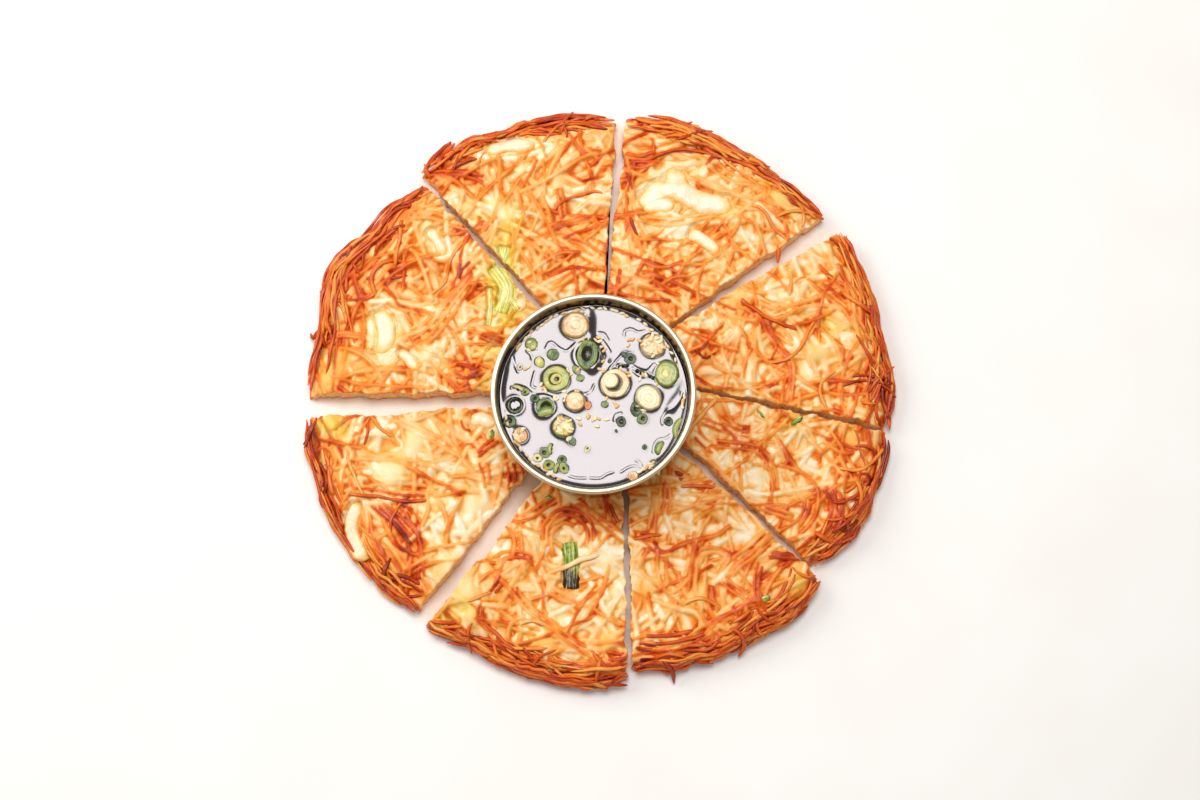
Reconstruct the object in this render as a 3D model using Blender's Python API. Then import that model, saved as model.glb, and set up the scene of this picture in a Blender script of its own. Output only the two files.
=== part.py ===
"""Seafood pancake of shredded potato, cut in eight, with a metal pot of soy dip on its middle.

Lengths are in millimetres, and each mesh is turned to metres as it is made. +Z is up and the
pancake lies on z = 0. The pieces are laid out round the hub, the point where the cuts meet. At
the end all of them are moved together, so that the whole is centred on x = y = 0.
"""

import math
import random

import bmesh
import bpy
from mathutils import Matrix, Vector, noise

MM = 0.001
SEED = 7
GAP = 0.35                      # kept between pieces that touch
FLAT_ANGLE = 2.0                # faces of a fused piece that bend less than this become one

# The cuts, anticlockwise: angle in degrees, how far the cut passes to the left of the hub,
# and the width of its gap beside the pot and at the rim.
CUTS = (
    (-12.0, 3.65, 0.9, 1.6),
    (33.6, 4.6, 1.8, 9.3),
    (85.0, 4.75, 1.1, 4.1),
    (132.0, 0.0, 2.8, 1.8),
    (181.8, 7.35, 5.1, 9.8),
    (232.4, 0.8, 6.9, 6.1),
    (271.4, 5.65, 1.5, 1.9),
    (316.4, -0.1, 3.1, 1.7),
)
# The rim's distance from the hub, for each slice at even steps from its right cut to its left.
RIM_RADII = (
    (119.3, 119.6, 117.4, 119.2, 120.2),
    (119.2, 117.4, 118.6, 121.2, 120.6),
    (118.3, 121.4, 121.9, 124.4, 124.4),
    (120.2, 122.6, 129.6, 125.0, 128.2),
    (128.4, 128.8, 128.6, 128.4, 126.4),
    (128.2, 125.2, 127.0, 127.6, 125.8),
    (121.6, 122.8, 123.6, 124.4, 121.6),
    (115.2, 119.6, 120.4, 119.2, 120.4),
)
MEAN_RIM = 120.0                # where the cuts have their width at the rim
HUB_RADIUS = 4.0                # the tips of the slices stop here
HUB_GAP = 0.8                   # width of every cut at the hub
CUT_WAVER = 0.9                 # how far a cut strays from a straight line
RIM_WAVER = 1.1                 # the same for the rim, beside the radii above
WAVER_SCALE = 17.0
CORE_TOP = 9.8                  # highest part of the batter
CORE_LUMP = 1.3                 # how far the batter dips below that
LUMP_SCALE = 16.0
RIM_DROP = 2.6                  # how much lower the batter is at the rim
RIM_SLOPE = 12.0                # and over what width it falls off
RIM_SHOULDER = 5.6              # height at which the rim is widest
FOOT_INSET = 1.2                # how far the rim draws in below that, and above it
EDGE_INSET = 1.6
FACE_STEPS = 6
RIM_STEPS = 9

# Shreds of potato fused to the slices
SHRED_WIDTH = 3.4
SHRED_DEPTH = 2.6
SHRED_STEP = 11.0
TOP_SHREDS = 13
SHRED_LENGTHS = (36.0, 70.0)
SHRED_MARGIN = 2.4              # kept from the cuts
SHRED_RISE = (0.2, 1.0)         # how far a shred's middle lies above the batter
RIM_SHREDS = ((3.2, 0.2), (7.0, -1.6))   # height, and how far outside the rim the middle runs

# Pot of dip
POT_CENTRE = Vector((-6.4, -13.5))
POT_FOOT = 34.5
POT_RADIUS = 41.4
POT_BASE = CORE_TOP + GAP
POT_RIM = 43.6
POT_WALL = 1.2
POT_SIDES = 28
SAUCE_LEVEL = 36.6

# Squid and greens that lie in the pancake's top: slice, middle line, width, height, rise above
# the batter.
TOPPINGS = {
    "squid_1": (3, ((-54, 102.5), (-43, 105.5), (-31, 105.5)), 6.0, 5.0, 1.6),
    "squid_2": (2, ((13, 79), (27, 85), (41, 79), (54, 78)), 10.5, 6.0, 1.7),
    "squid_3": (2, ((34, 65.5), (41, 62), (48, 56)), 6.0, 5.0, 1.4),
    "squid_4": (5, ((-105, -52), (-107, -64), (-101, -77)), 6.5, 5.5, 1.6),
    "squid_5": (4, ((-99, 31), (-94.5, 21), (-97, 11)), 8.5, 6.0, 1.7),
    "squid_6": (4, ((-78, 67), (-74, 61), (-70, 55)), 5.5, 5.0, 1.4),
    "leek_1": (4, ((-50, 50), (-43.5, 40), (-46, 29)), 7.5, 3.6, 1.3),
    "scallion_1": (6, ((-16.5, -69), (-15.5, -79), (-16, -89)), 7.0, 4.0, 1.6),
}

# Slices of spring onion and shallot in the dip: place from the pot's axis, radius of the slice
# and of its hole (0 for a slice with a domed top), height, rise above the sauce, tilt in degrees.
GARNISH = (
    ((-7.5, 29.4), 5.7, 0.0, 4.5, 1.6, 0),
    ((-2.4, 17.0), 6.0, 3.2, 4.0, -0.3, 26),
    ((-15.1, 6.9), 5.5, 2.6, 4.5, 1.3, 0),
    ((8.8, 5.0), 6.0, 2.2, 5.0, 1.5, 0),
    ((29.8, 9.0), 5.3, 3.0, 4.5, 1.4, 0),
    ((22.3, -1.0), 5.3, 0.0, 5.0, 1.6, 0),
    ((24.2, 20.8), 5.0, 2.0, 4.5, 1.5, 0),
    ((-7.4, -2.4), 4.1, 0.0, 4.0, 1.3, 0),
    ((-19.6, -4.6), 4.3, 2.2, 4.0, 1.2, 0),
    ((-12.2, -13.0), 4.3, 1.8, 4.0, 1.3, 0),
    ((-31.8, -4.0), 4.0, 2.4, 3.5, 0.7, 0),
    ((-29.5, -16.5), 3.4, 1.4, 3.5, 0.9, 0),
)

# Colour, roughness and metallic value of each material
MATERIALS = {
    "pancake": ((0.78, 0.36, 0.11), 0.42, 0.0),
    "squid": ((0.93, 0.78, 0.55), 0.35, 0.0),
    "greens": ((0.42, 0.50, 0.10), 0.40, 0.0),
    "pot_metal": ((0.80, 0.72, 0.55), 0.25, 1.0),
    "soy_dip": ((0.05, 0.03, 0.03), 0.08, 0.0),
    "dip_garnish": ((0.45, 0.48, 0.16), 0.35, 0.0),
}


def polar(degrees, radius):
    """The point at this angle and distance from the hub."""
    return radius * Vector((math.cos(math.radians(degrees)), math.sin(math.radians(degrees))))


def smooth(value):
    """Ease from 0 to 1 as value goes from 0 to 1."""
    value = min(1.0, max(0.0, value))
    return value * value * (3.0 - 2.0 * value)


def wobble(x, y, scale, layer=0.0):
    """Smooth noise from -1 to 1 with lumps of about this scale."""
    return noise.noise(Vector((x / scale, y / scale, layer + 0.37)))


# ------------------------------------------------------------------ the pancake's plan

def cut_face(cut, radius, side):
    """A point on one face of a cut. side is 1 for its left face and -1 for its right face."""
    angle, offset, gap_at_pot, gap_at_rim = CUTS[cut % len(CUTS)]
    if radius < POT_RADIUS:
        gap = HUB_GAP + (gap_at_pot - HUB_GAP) * radius / POT_RADIUS
    else:
        share = (radius - POT_RADIUS) / (MEAN_RIM - POT_RADIUS)
        gap = gap_at_pot + (gap_at_rim - gap_at_pot) * share
    waver = CUT_WAVER * wobble(radius, 40.0 * cut, WAVER_SCALE) * smooth(radius / POT_RADIUS - 0.5)
    lateral = offset * smooth(radius / POT_RADIUS) + waver + side * 0.5 * gap
    return polar(angle, radius) + lateral * Vector(polar(angle + 90.0, 1.0))


def degrees_of(point, near):
    """The point's angle from the hub, as the turn that lies closest to another angle."""
    angle = math.degrees(math.atan2(point.y, point.x))
    return angle + 360.0 * round((near - angle) / 360.0)


def slice_span(number, radius):
    """The angles of a slice's right and left faces at this distance from the hub."""
    start = CUTS[number - 1][0]
    end = CUTS[number % len(CUTS)][0] + (360.0 if number == len(CUTS) else 0.0)
    right = degrees_of(cut_face(number - 1, radius, 1), start)
    left = degrees_of(cut_face(number, radius, -1), end)
    return right, left


def rim_radius(number, across):
    """The rim's distance from the hub, across a slice from 0 at its right to 1 at its left."""
    radii = RIM_RADII[number - 1]
    place = min(0.999, max(0.0, across)) * (len(radii) - 1)
    step = int(place)
    radius = radii[step] + (radii[step + 1] - radii[step]) * smooth(place - step)
    return radius + RIM_WAVER * wobble(70.0 * number, 140.0 * across, WAVER_SCALE)


def place_in_slice(number, point):
    """How far across the slice a point is, and how far it is inside the rim."""
    radius = point.length
    right, left = slice_span(number, radius)
    across = (degrees_of(point, 0.5 * (right + left)) - right) / (left - right)
    return across, rim_radius(number, across) - radius


def batter_height(point, inside):
    """Height of the batter at a point that lies this far inside the rim."""
    dip = CORE_LUMP * max(0.0, 0.5 - 1.4 * wobble(point.x, point.y, LUMP_SCALE))
    from_pot = (point - POT_CENTRE).length
    dip *= smooth((from_pot - POT_FOOT) / RIM_SLOPE)
    return CORE_TOP - dip - RIM_DROP * (1.0 - smooth(inside / RIM_SLOPE))


def slice_outline(number, inset):
    """The slice's outline from its tip, with the rim drawn in by inset."""
    points = []
    for step in range(FACE_STEPS):
        radius = HUB_RADIUS + (rim_radius(number, 0.0) - HUB_RADIUS) * step / FACE_STEPS
        points.append(cut_face(number - 1, radius, 1))
    for step in range(RIM_STEPS):
        across = step / (RIM_STEPS - 1)
        radius = rim_radius(number, across) - inset
        right, left = slice_span(number, radius)
        points.append(polar(right + (left - right) * across, radius))
    for step in reversed(range(FACE_STEPS)):
        radius = HUB_RADIUS + (rim_radius(number, 1.0) - HUB_RADIUS) * step / FACE_STEPS
        points.append(cut_face(number, radius, -1))
    return points


# ------------------------------------------------------------------ meshes and objects

def loft(rings, closed=False):
    """A mesh through rings of points. A ring of one point is a pole, and open ends are capped."""
    mesh = bmesh.new()
    loops = [[mesh.verts.new(point) for point in ring] for ring in rings]
    pairs = list(zip(loops, loops[1:]))
    if closed:
        pairs.append((loops[-1], loops[0]))
    for low, high in pairs:
        count = max(len(low), len(high))
        for i in range(count):
            j = (i + 1) % count
            corners = [low[i % len(low)], low[j % len(low)], high[j % len(high)], high[i % len(high)]]
            mesh.faces.new(list(dict.fromkeys(corners)))
    if not closed:
        for loop in (loops[0], loops[-1]):
            if len(loop) > 2:
                mesh.faces.new(loop)
    bmesh.ops.connect_verts_nonplanar(mesh, angle_limit=math.radians(0.1), faces=mesh.faces)
    bmesh.ops.recalc_face_normals(mesh, faces=mesh.faces)
    return mesh


def add_object(name, mesh, material=None):
    """An object from a mesh in millimetres."""
    bmesh.ops.scale(mesh, vec=Vector((MM, MM, MM)), verts=mesh.verts)
    data = bpy.data.meshes.new(name)
    mesh.to_mesh(data)
    mesh.free()
    thing = bpy.data.objects.new(name, data)
    bpy.context.scene.collection.objects.link(thing)
    if material:
        data.materials.append(bpy.data.materials[material])
    return thing


def add_material(name, colour, roughness, metallic):
    """A plain material of this name."""
    material = bpy.data.materials.new(name)
    material.use_nodes = True
    shader = material.node_tree.nodes["Principled BSDF"]
    shader.inputs["Base Color"].default_value = (*colour, 1.0)
    shader.inputs["Roughness"].default_value = roughness
    shader.inputs["Metallic"].default_value = metallic


def largest_piece(data):
    """Drop every loose scrap from a mesh, and merge points that a cut left together."""
    mesh = bmesh.new()
    mesh.from_mesh(data)
    bmesh.ops.remove_doubles(mesh, verts=mesh.verts, dist=0.005 * MM)
    left = set(mesh.verts)
    pieces = []
    while left:
        piece = [left.pop()]
        for vertex in piece:
            for edge in vertex.link_edges:
                other = edge.other_vert(vertex)
                if other in left:
                    left.remove(other)
                    piece.append(other)
        pieces.append(piece)
    pieces.sort(key=len)
    for piece in pieces[:-1]:
        bmesh.ops.delete(mesh, geom=piece, context="VERTS")
    bmesh.ops.dissolve_limit(mesh, angle_limit=math.radians(FLAT_ANGLE), verts=mesh.verts,
                             edges=mesh.edges)
    bmesh.ops.triangulate(mesh, faces=mesh.faces)
    mesh.to_mesh(data)
    mesh.free()


def combine(target, operation, others):
    """Join others to the target, or cut them from it, and remove them."""
    group = bpy.data.collections.new("fusing")
    for other in others:
        group.objects.link(other)
    boolean = target.modifiers.new(operation, "BOOLEAN")
    boolean.operation = operation
    boolean.operand_type = "COLLECTION"
    boolean.collection = group
    boolean.solver = "EXACT"
    depsgraph = bpy.context.evaluated_depsgraph_get()
    fused = bpy.data.meshes.new_from_object(target.evaluated_get(depsgraph))
    target.modifiers.clear()
    largest_piece(fused)
    target.data = fused
    for other in others:
        bpy.data.objects.remove(other)
    bpy.data.collections.remove(group)


# ------------------------------------------------------------------ shreds

def strand(path, width, depth):
    """A three-sided strand along a path of points, flat below and narrower at its ends."""
    rings = []
    for index, point in enumerate(path):
        ahead = path[min(index + 1, len(path) - 1)] - path[max(index - 1, 0)]
        side = Vector((-ahead.y, ahead.x, 0.0)).normalized()
        taper = 0.7 if index in (0, len(path) - 1) else 1.0
        reach = side * 0.5 * width * taper
        rise = Vector((0.0, 0.0, 0.5 * depth * taper))
        rings.append([point - reach - rise, point + reach - rise, point + rise])
    return loft(rings)


def near_topping(number, point):
    """Whether a shred through this point would touch squid or greens on the slice."""
    for owner, line, width, _, _ in TOPPINGS.values():
        if owner == number:
            for start, end in zip(line, line[1:]):
                start, end = Vector(start), Vector(end)
                t = (point - start).dot(end - start) / (end - start).length_squared
                closest = start + (end - start) * min(1.0, max(0.0, t))
                if (point - closest).length < 0.5 * (width + SHRED_WIDTH) + 1.0:
                    return True
    return False


def is_free(number, point):
    """Whether a shred can pass over this point of the slice."""
    across, inside = place_in_slice(number, point)
    right, left = slice_span(number, point.length)
    margin = SHRED_MARGIN / (math.radians(left - right) * point.length)
    from_pot = (point - POT_CENTRE).length
    return (margin < across < 1.0 - margin and inside > 0.5 * SHRED_WIDTH
            and from_pot > POT_FOOT + 2.0 * SHRED_WIDTH and not near_topping(number, point))


def wander(number, draw):
    """A random curved line on the slice, cut short where it would leave it."""
    across, share = draw.uniform(0.1, 0.9), draw.uniform(0.3, 0.97)
    radius = rim_radius(number, across) * share
    right, left = slice_span(number, radius)
    turn = right + (left - right) * across
    point = polar(turn, radius)
    along_rim = draw.gauss(0.0, 25.0 + 70.0 * (1.0 - share))
    heading = turn + 90.0 + along_rim
    curl = draw.uniform(-20.0, 20.0)
    line = []
    for _ in range(int(draw.uniform(*SHRED_LENGTHS) / SHRED_STEP) + 1):
        if not is_free(number, point):
            break
        line.append(point)
        point = point + polar(heading, SHRED_STEP)
        heading += curl + draw.uniform(-6.0, 6.0)
    return line


def top_shreds(number, draw):
    """Lines for the shreds on a slice's top, each as far from the others as chance allows."""
    chosen = []
    while len(chosen) < TOP_SHREDS:
        best, best_score = None, -1.0
        for _ in range(40):
            line = wander(number, draw)
            if len(line) < 4:
                continue
            taken = [point for other in chosen for point in other] or line[:1]
            score = sum(min((a - b).length for b in taken) for a in line) / len(line)
            if score > best_score:
                best, best_score = line, score
        chosen.append(best)
    return chosen


def rim_line(number, height, outside):
    """A line along the slice's rim at this height."""
    line = []
    for step in range(1, 10):
        across = step / 10.0
        radius = rim_radius(number, across) + outside + 0.8 * wobble(step, number, 2.3, height)
        right, left = slice_span(number, radius)
        point = polar(right + (left - right) * across, radius)
        line.append(point.to_3d() + Vector((0.0, 0.0, height + 0.9 * wobble(step, number, 1.9, 5.0))))
    return line


def make_slice(number):
    """One slice: its batter, the shreds on its top and rim, and the pockets of its toppings."""
    draw = random.Random(SEED * 100 + number)
    foot = slice_outline(number, FOOT_INSET)
    widest = slice_outline(number, 0.0)
    edge = slice_outline(number, EDGE_INSET)
    middle = sum(edge, Vector((0.0, 0.0))) / len(edge)

    def on_top(point):
        inside = place_in_slice(number, point)[1]
        return point.to_3d() + Vector((0.0, 0.0, batter_height(point, inside)))

    rings = [[point.to_3d() for point in foot]]
    rings.append([point.to_3d() + Vector((0.0, 0.0, RIM_SHOULDER)) for point in widest])
    for share in (1.0, 0.55):
        rings.append([on_top(middle.lerp(point, share)) for point in edge])
    rings.append([on_top(middle)])
    slab = add_object(f"slice_{number}", loft(rings), "pancake")

    shreds = []
    for line in top_shreds(number, draw):
        rise = draw.uniform(*SHRED_RISE)
        path = [on_top(point) + Vector((0.0, 0.0, rise)) for point in line]
        shreds.append(add_object("shred", strand(path, SHRED_WIDTH, SHRED_DEPTH)))
    for height, outside in RIM_SHREDS:
        path = rim_line(number, height, outside)
        shreds.append(add_object("shred", strand(path, SHRED_WIDTH, SHRED_DEPTH)))
    combine(slab, "UNION", shreds)

    pockets = []
    for name, (owner, line, width, height, rise) in TOPPINGS.items():
        if owner == number:
            material = "squid" if name.startswith("squid") else "greens"
            add_object(name, topping(number, line, width, height, rise, 0.0), material)
            pockets.append(add_object("pocket", topping(number, line, width, height, rise, GAP)))
    if pockets:
        combine(slab, "DIFFERENCE", pockets)
    slab.data.materials.clear()
    slab.data.materials.append(bpy.data.materials["pancake"])


# ------------------------------------------------------------------ squid and greens

def topping(number, line, width, height, rise, swell):
    """A rounded piece along a line, sunk in the batter, and grown all round by swell."""
    path = [Vector(point) for point in line]
    lengths = [(b - a).length for a, b in zip(path, path[1:])]
    whole = sum(lengths)
    rings = []
    for step in range(8):
        share = step / 7.0
        point, ahead = walk_to(path, lengths, share * whole)
        end = 1.0 if share > 0.5 else -1.0
        inside = place_in_slice(number, point)[1]
        level = batter_height(point, inside) + rise - 0.5 * height
        centre = point.to_3d() + Vector((0.0, 0.0, level))
        if step in (0, 7):
            rings.append([centre + ahead.to_3d() * end * swell])
            continue
        girth = math.sqrt(1.0 - (2.0 * share - 1.0) ** 4)
        side = Vector((-ahead.y, ahead.x, 0.0))
        across = side * (0.5 * width * girth + swell)
        up = Vector((0.0, 0.0, 0.5 * height * girth + swell))
        turns = [2.0 * math.pi * k / 8.0 for k in range(8)]
        rings.append([centre + across * math.cos(turn) + up * math.sin(turn) for turn in turns])
    return loft(rings)


def walk_to(path, lengths, distance):
    """The point at this distance along a path, and the direction there."""
    for start, end, length in zip(path, path[1:], lengths):
        if distance <= length + 1e-6:
            return start.lerp(end, distance / length), (end - start).normalized()
        distance -= length
    return path[-1], (path[-1] - path[-2]).normalized()


# ------------------------------------------------------------------ pot, dip and garnish

def ring_of(radius, height, sides):
    """Points round the axis at this radius, or one point for radius 0."""
    if radius == 0.0:
        return [Vector((0.0, 0.0, height))]
    turns = [2.0 * math.pi * k / sides for k in range(sides)]
    return [Vector((radius * math.cos(t), radius * math.sin(t), height)) for t in turns]


def turned(profile, sides, closed=False):
    """A turned mesh from radii and heights."""
    return loft([ring_of(radius, height, sides) for radius, height in profile], closed)


def inner_wall():
    """Radii and heights of the pot's inside, from its floor up to below its rim."""
    return [
        (POT_FOOT - 4.0, POT_BASE + POT_WALL),
        (POT_FOOT - 1.0, POT_BASE + 2.6),
        (POT_FOOT + 0.9, POT_BASE + 6.2),
        (POT_RADIUS - 2.6, POT_RIM - 2.4),
    ]


def make_pot():
    """A thin metal pot with a rolled rim, standing on the tips of the slices."""
    outside = [
        (0.0, POT_BASE),
        (POT_FOOT - 3.5, POT_BASE),
        (POT_FOOT, POT_BASE + 1.6),
        (POT_FOOT + 2.1, POT_BASE + 6.0),
        (POT_RADIUS - 1.4, POT_RIM - 3.0),
    ]
    rolled_rim = [
        (POT_RADIUS - 0.3, POT_RIM - 2.0),
        (POT_RADIUS, POT_RIM - 1.0),
        (POT_RADIUS - 0.7, POT_RIM - 0.1),
        (POT_RADIUS - 1.7, POT_RIM - 0.2),
        (POT_RADIUS - 2.3, POT_RIM - 1.1),
    ]
    profile = outside + rolled_rim + inner_wall()[::-1] + [(0.0, POT_BASE + POT_WALL)]
    mesh = turned(profile, POT_SIDES)
    bmesh.ops.translate(mesh, vec=POT_CENTRE.to_3d(), verts=mesh.verts)
    add_object("dip_pot", mesh, "pot_metal")


def make_sauce():
    """The dip up to its level, with a pocket round each slice of garnish."""
    wall = inner_wall()
    low, high = wall[-2], wall[-1]
    share = (SAUCE_LEVEL - low[1]) / (high[1] - low[1])
    level_radius = low[0] + (high[0] - low[0]) * share
    profile = [(radius - GAP, height + GAP) for radius, height in wall[:-1]]
    profile.append((level_radius - GAP, SAUCE_LEVEL))
    mesh = turned(profile, POT_SIDES)
    bmesh.ops.translate(mesh, vec=POT_CENTRE.to_3d(), verts=mesh.verts)
    sauce = add_object("dip_sauce", mesh)
    pockets = []
    for piece in GARNISH:
        radius, height = piece[1] + GAP + 0.15, piece[3]
        profile = [(radius, -height - GAP), (radius, 6.0)]
        pockets.append(add_object("pocket", settle(turned(profile, garnish_sides(piece)), piece)))
    combine(sauce, "DIFFERENCE", pockets)
    sauce.data.materials.append(bpy.data.materials["soy_dip"])


def garnish_sides(piece):
    """How many sides a slice of garnish has: fewer for the small ones."""
    return 10 if piece[1] > 5.0 else 8


def settle(mesh, piece):
    """Put a mesh, made with its top at z = 0, at its place and tilt in the dip."""
    place, _, _, height, rise, tilt = piece
    tip = Matrix.Rotation(math.radians(tilt), 4, Vector((0.4, 1.0, 0.0)))
    spot = (POT_CENTRE + Vector(place)).to_3d() + Vector((0.0, 0.0, SAUCE_LEVEL + rise))
    bmesh.ops.transform(mesh, matrix=Matrix.Translation(spot) @ tip, verts=mesh.verts)
    return mesh


def make_garnish():
    """The slices of spring onion and shallot that float in the dip."""
    for number, piece in enumerate(GARNISH, start=1):
        _, radius, hole, height, _, _ = piece
        if hole:
            profile = [(hole, -height), (radius, -height), (radius, -0.7), (radius - 0.8, 0.0),
                       (hole, -0.2)]
        else:
            profile = [(0.0, -height), (radius, -height), (radius, -1.6),
                       (0.75 * radius, -0.5), (0.35 * radius, 0.0), (0.0, 0.0)]
        mesh = turned(profile, garnish_sides(piece), closed=bool(hole))
        add_object(f"garnish_{number}", settle(mesh, piece), "dip_garnish")


def centre_on_origin():
    """Move every object by one amount, so that the whole is centred on x = y = 0."""
    things = list(bpy.context.scene.objects)
    points = [thing.matrix_world @ vertex.co for thing in things for vertex in thing.data.vertices]
    middle = [0.5 * (min(p[axis] for p in points) + max(p[axis] for p in points)) for axis in (0, 1)]
    for thing in things:
        thing.data.transform(Matrix.Translation((-middle[0], -middle[1], 0.0)))


def main():
    for thing in list(bpy.data.objects):
        bpy.data.objects.remove(thing)
    for name, looks in MATERIALS.items():
        add_material(name, *looks)
    for number in range(1, len(CUTS) + 1):
        make_slice(number)
    make_pot()
    make_sauce()
    make_garnish()
    centre_on_origin()


main()
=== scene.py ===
"""Looks of the seafood pancake: its shreds and browning, squid, greens, and the pot of dip.

Lengths are in millimetres, in the plan of the part's source: x and y from the hub, the point
where the cuts meet, and z up from the table. to_frame() turns them to the frame's metres.
Places given as pixels are read off the photograph (1200 x 800), and seen_at() lays them on the
pancake along the sight lines of the camera that is made here.
"""

import math
import random

import bpy
import numpy as np
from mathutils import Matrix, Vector, noise
from mathutils.kdtree import KDTree


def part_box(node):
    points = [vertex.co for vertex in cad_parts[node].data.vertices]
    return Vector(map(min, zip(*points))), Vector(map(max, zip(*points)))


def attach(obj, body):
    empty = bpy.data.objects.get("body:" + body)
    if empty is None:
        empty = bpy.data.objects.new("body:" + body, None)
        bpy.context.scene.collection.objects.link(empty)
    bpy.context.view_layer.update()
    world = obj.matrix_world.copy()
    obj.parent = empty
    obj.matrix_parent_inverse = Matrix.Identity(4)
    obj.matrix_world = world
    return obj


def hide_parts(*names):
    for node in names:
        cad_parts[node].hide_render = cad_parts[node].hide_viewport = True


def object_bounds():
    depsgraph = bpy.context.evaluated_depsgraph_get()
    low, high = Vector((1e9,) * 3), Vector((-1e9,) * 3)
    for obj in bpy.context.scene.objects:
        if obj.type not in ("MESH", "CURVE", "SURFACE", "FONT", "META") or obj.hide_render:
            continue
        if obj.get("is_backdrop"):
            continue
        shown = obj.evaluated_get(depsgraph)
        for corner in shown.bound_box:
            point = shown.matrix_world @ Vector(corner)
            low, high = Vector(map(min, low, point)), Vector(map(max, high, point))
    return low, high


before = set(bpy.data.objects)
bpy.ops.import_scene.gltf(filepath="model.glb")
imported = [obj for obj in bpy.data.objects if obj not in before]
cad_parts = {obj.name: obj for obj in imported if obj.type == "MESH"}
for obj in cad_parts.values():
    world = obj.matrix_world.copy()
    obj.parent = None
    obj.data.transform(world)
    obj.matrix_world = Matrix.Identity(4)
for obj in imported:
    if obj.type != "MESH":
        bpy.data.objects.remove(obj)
CAD_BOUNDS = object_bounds()

MM = 0.001
SEED = 11
PITCH = 0.22    # of the grid that shreds are pressed into
STRIDE = 2                              # the mesh takes every second node of that grid
RELIEF_REACH = 134.0                    # half the grid's width
COARSE_NODES = 269                      # of a coarser grid of that width, for smooth functions
STRAND_STEP = 0.7 * PITCH               # between the points along a strand of the relief
PIECE_STEP = 0.25 * PITCH               # the same along squid and greens
LINE_STEP = 0.25                        # the same along the middle lines of loose shreds

# ------------------------------------------------------------------ the plan of the part's source

# The cuts: angle in degrees, distance beside the line to the hub, and gaps at the pot and the rim
CUTS = (
    (-12.0, 3.65, 0.9, 1.6),
    (33.6, 4.6, 1.8, 9.3),
    (85.0, 4.75, 1.1, 4.1),
    (132.0, 0.0, 2.8, 1.8),
    (181.8, 7.35, 5.1, 9.8),
    (232.4, 0.8, 6.9, 6.1),
    (271.4, 5.65, 1.5, 1.9),
    (316.4, -0.1, 3.1, 1.7),
)
# The rim's distance from the hub at even steps across each slice, from its right cut to its left
RIM_RADII = (
    (119.3, 119.6, 117.4, 119.2, 120.2),
    (119.2, 117.4, 118.6, 121.2, 120.6),
    (118.3, 121.4, 121.9, 124.4, 124.4),
    (120.2, 122.6, 129.6, 125.0, 128.2),
    (128.4, 128.8, 128.6, 128.4, 126.4),
    (128.2, 125.2, 127.0, 127.6, 125.8),
    (121.6, 122.8, 123.6, 124.4, 121.6),
    (115.2, 119.6, 120.4, 119.2, 120.4),
)
SLICES = range(1, len(CUTS) + 1)
MEAN_RIM = 120.0
HUB_RADIUS = 4.0
HUB_GAP = 0.8
CUT_WAVER = 0.9
CUT_RAG = 1.2                   # how far a cut face is torn back or bulges, beyond the part's source
RAG_SCALES = (6.0, 1.9)
RIM_WAVER = 1.1
WAVER_SCALE = 17.0
CORE_TOP = 9.8
CORE_LUMP = 1.3
LUMP_SCALE = 16.0
RIM_DROP = 2.6
RIM_SLOPE = 12.0
POT_CENTRE = Vector((-6.4, -13.5))
POT_FOOT = 34.5
POT_RADIUS = 41.4
POT_BASE = 10.15
POT_RIM = 43.6
POT_WALL = 1.2
SAUCE_LEVEL = 36.6

# Squid and greens in the slices' tops: middle line, width, height, and how far they stand out
TOPPINGS = {
    "squid_1": (((-54, 102.5), (-43, 105.5), (-31, 105.5)), 7.6, 5.0, 1.6),
    "squid_2": (((13, 79), (27, 85), (41, 79), (54, 78)), 10.5, 6.0, 1.7),
    "squid_3": (((34, 65.5), (41, 62), (48, 56)), 6.0, 5.0, 1.4),
    "squid_4": (((-105, -52), (-107, -64), (-101, -77)), 6.5, 5.5, 1.6),
    "squid_5": (((-99, 31), (-94.5, 21), (-97, 11)), 8.5, 6.0, 1.7),
    "squid_6": (((-78, 67), (-74, 61), (-70, 55)), 5.5, 5.0, 1.4),
    "leek_1": (((-50, 50), (-43.5, 40), (-46, 29)), 7.5, 3.6, 1.3),
    "scallion_1": (((-16.5, -69), (-15.5, -79), (-16, -89)), 7.0, 4.0, 1.6),
}

# Slices of garnish, from the pot's axis: place, radius, radius of the hole, height, how far they
# stand out of the dip, and tilt in degrees
GARNISH = (
    ((-7.5, 29.4), 5.7, 0.0, 4.5, 1.6, 0),
    ((-2.4, 17.0), 6.0, 3.2, 4.0, -0.3, 26),
    ((-15.1, 6.9), 5.5, 2.6, 4.5, 1.3, 0),
    ((8.8, 5.0), 6.0, 2.2, 5.0, 1.5, 0),
    ((29.8, 9.0), 5.3, 3.0, 4.5, 1.4, 0),
    ((22.3, -1.0), 5.3, 0.0, 5.0, 1.6, 0),
    ((24.2, 20.8), 5.0, 2.0, 4.5, 1.5, 0),
    ((-7.4, -2.4), 4.1, 0.0, 4.0, 1.3, 0),
    ((-19.6, -4.6), 4.3, 2.2, 4.0, 1.2, 0),
    ((-12.2, -13.0), 4.3, 1.8, 4.0, 1.3, 0),
    ((-31.8, -4.0), 4.0, 2.4, 3.5, 0.7, 0),
    ((-29.5, -16.5), 3.4, 1.4, 3.5, 0.9, 0),
)

# ------------------------------------------------------------------ looks of the pancake

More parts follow.
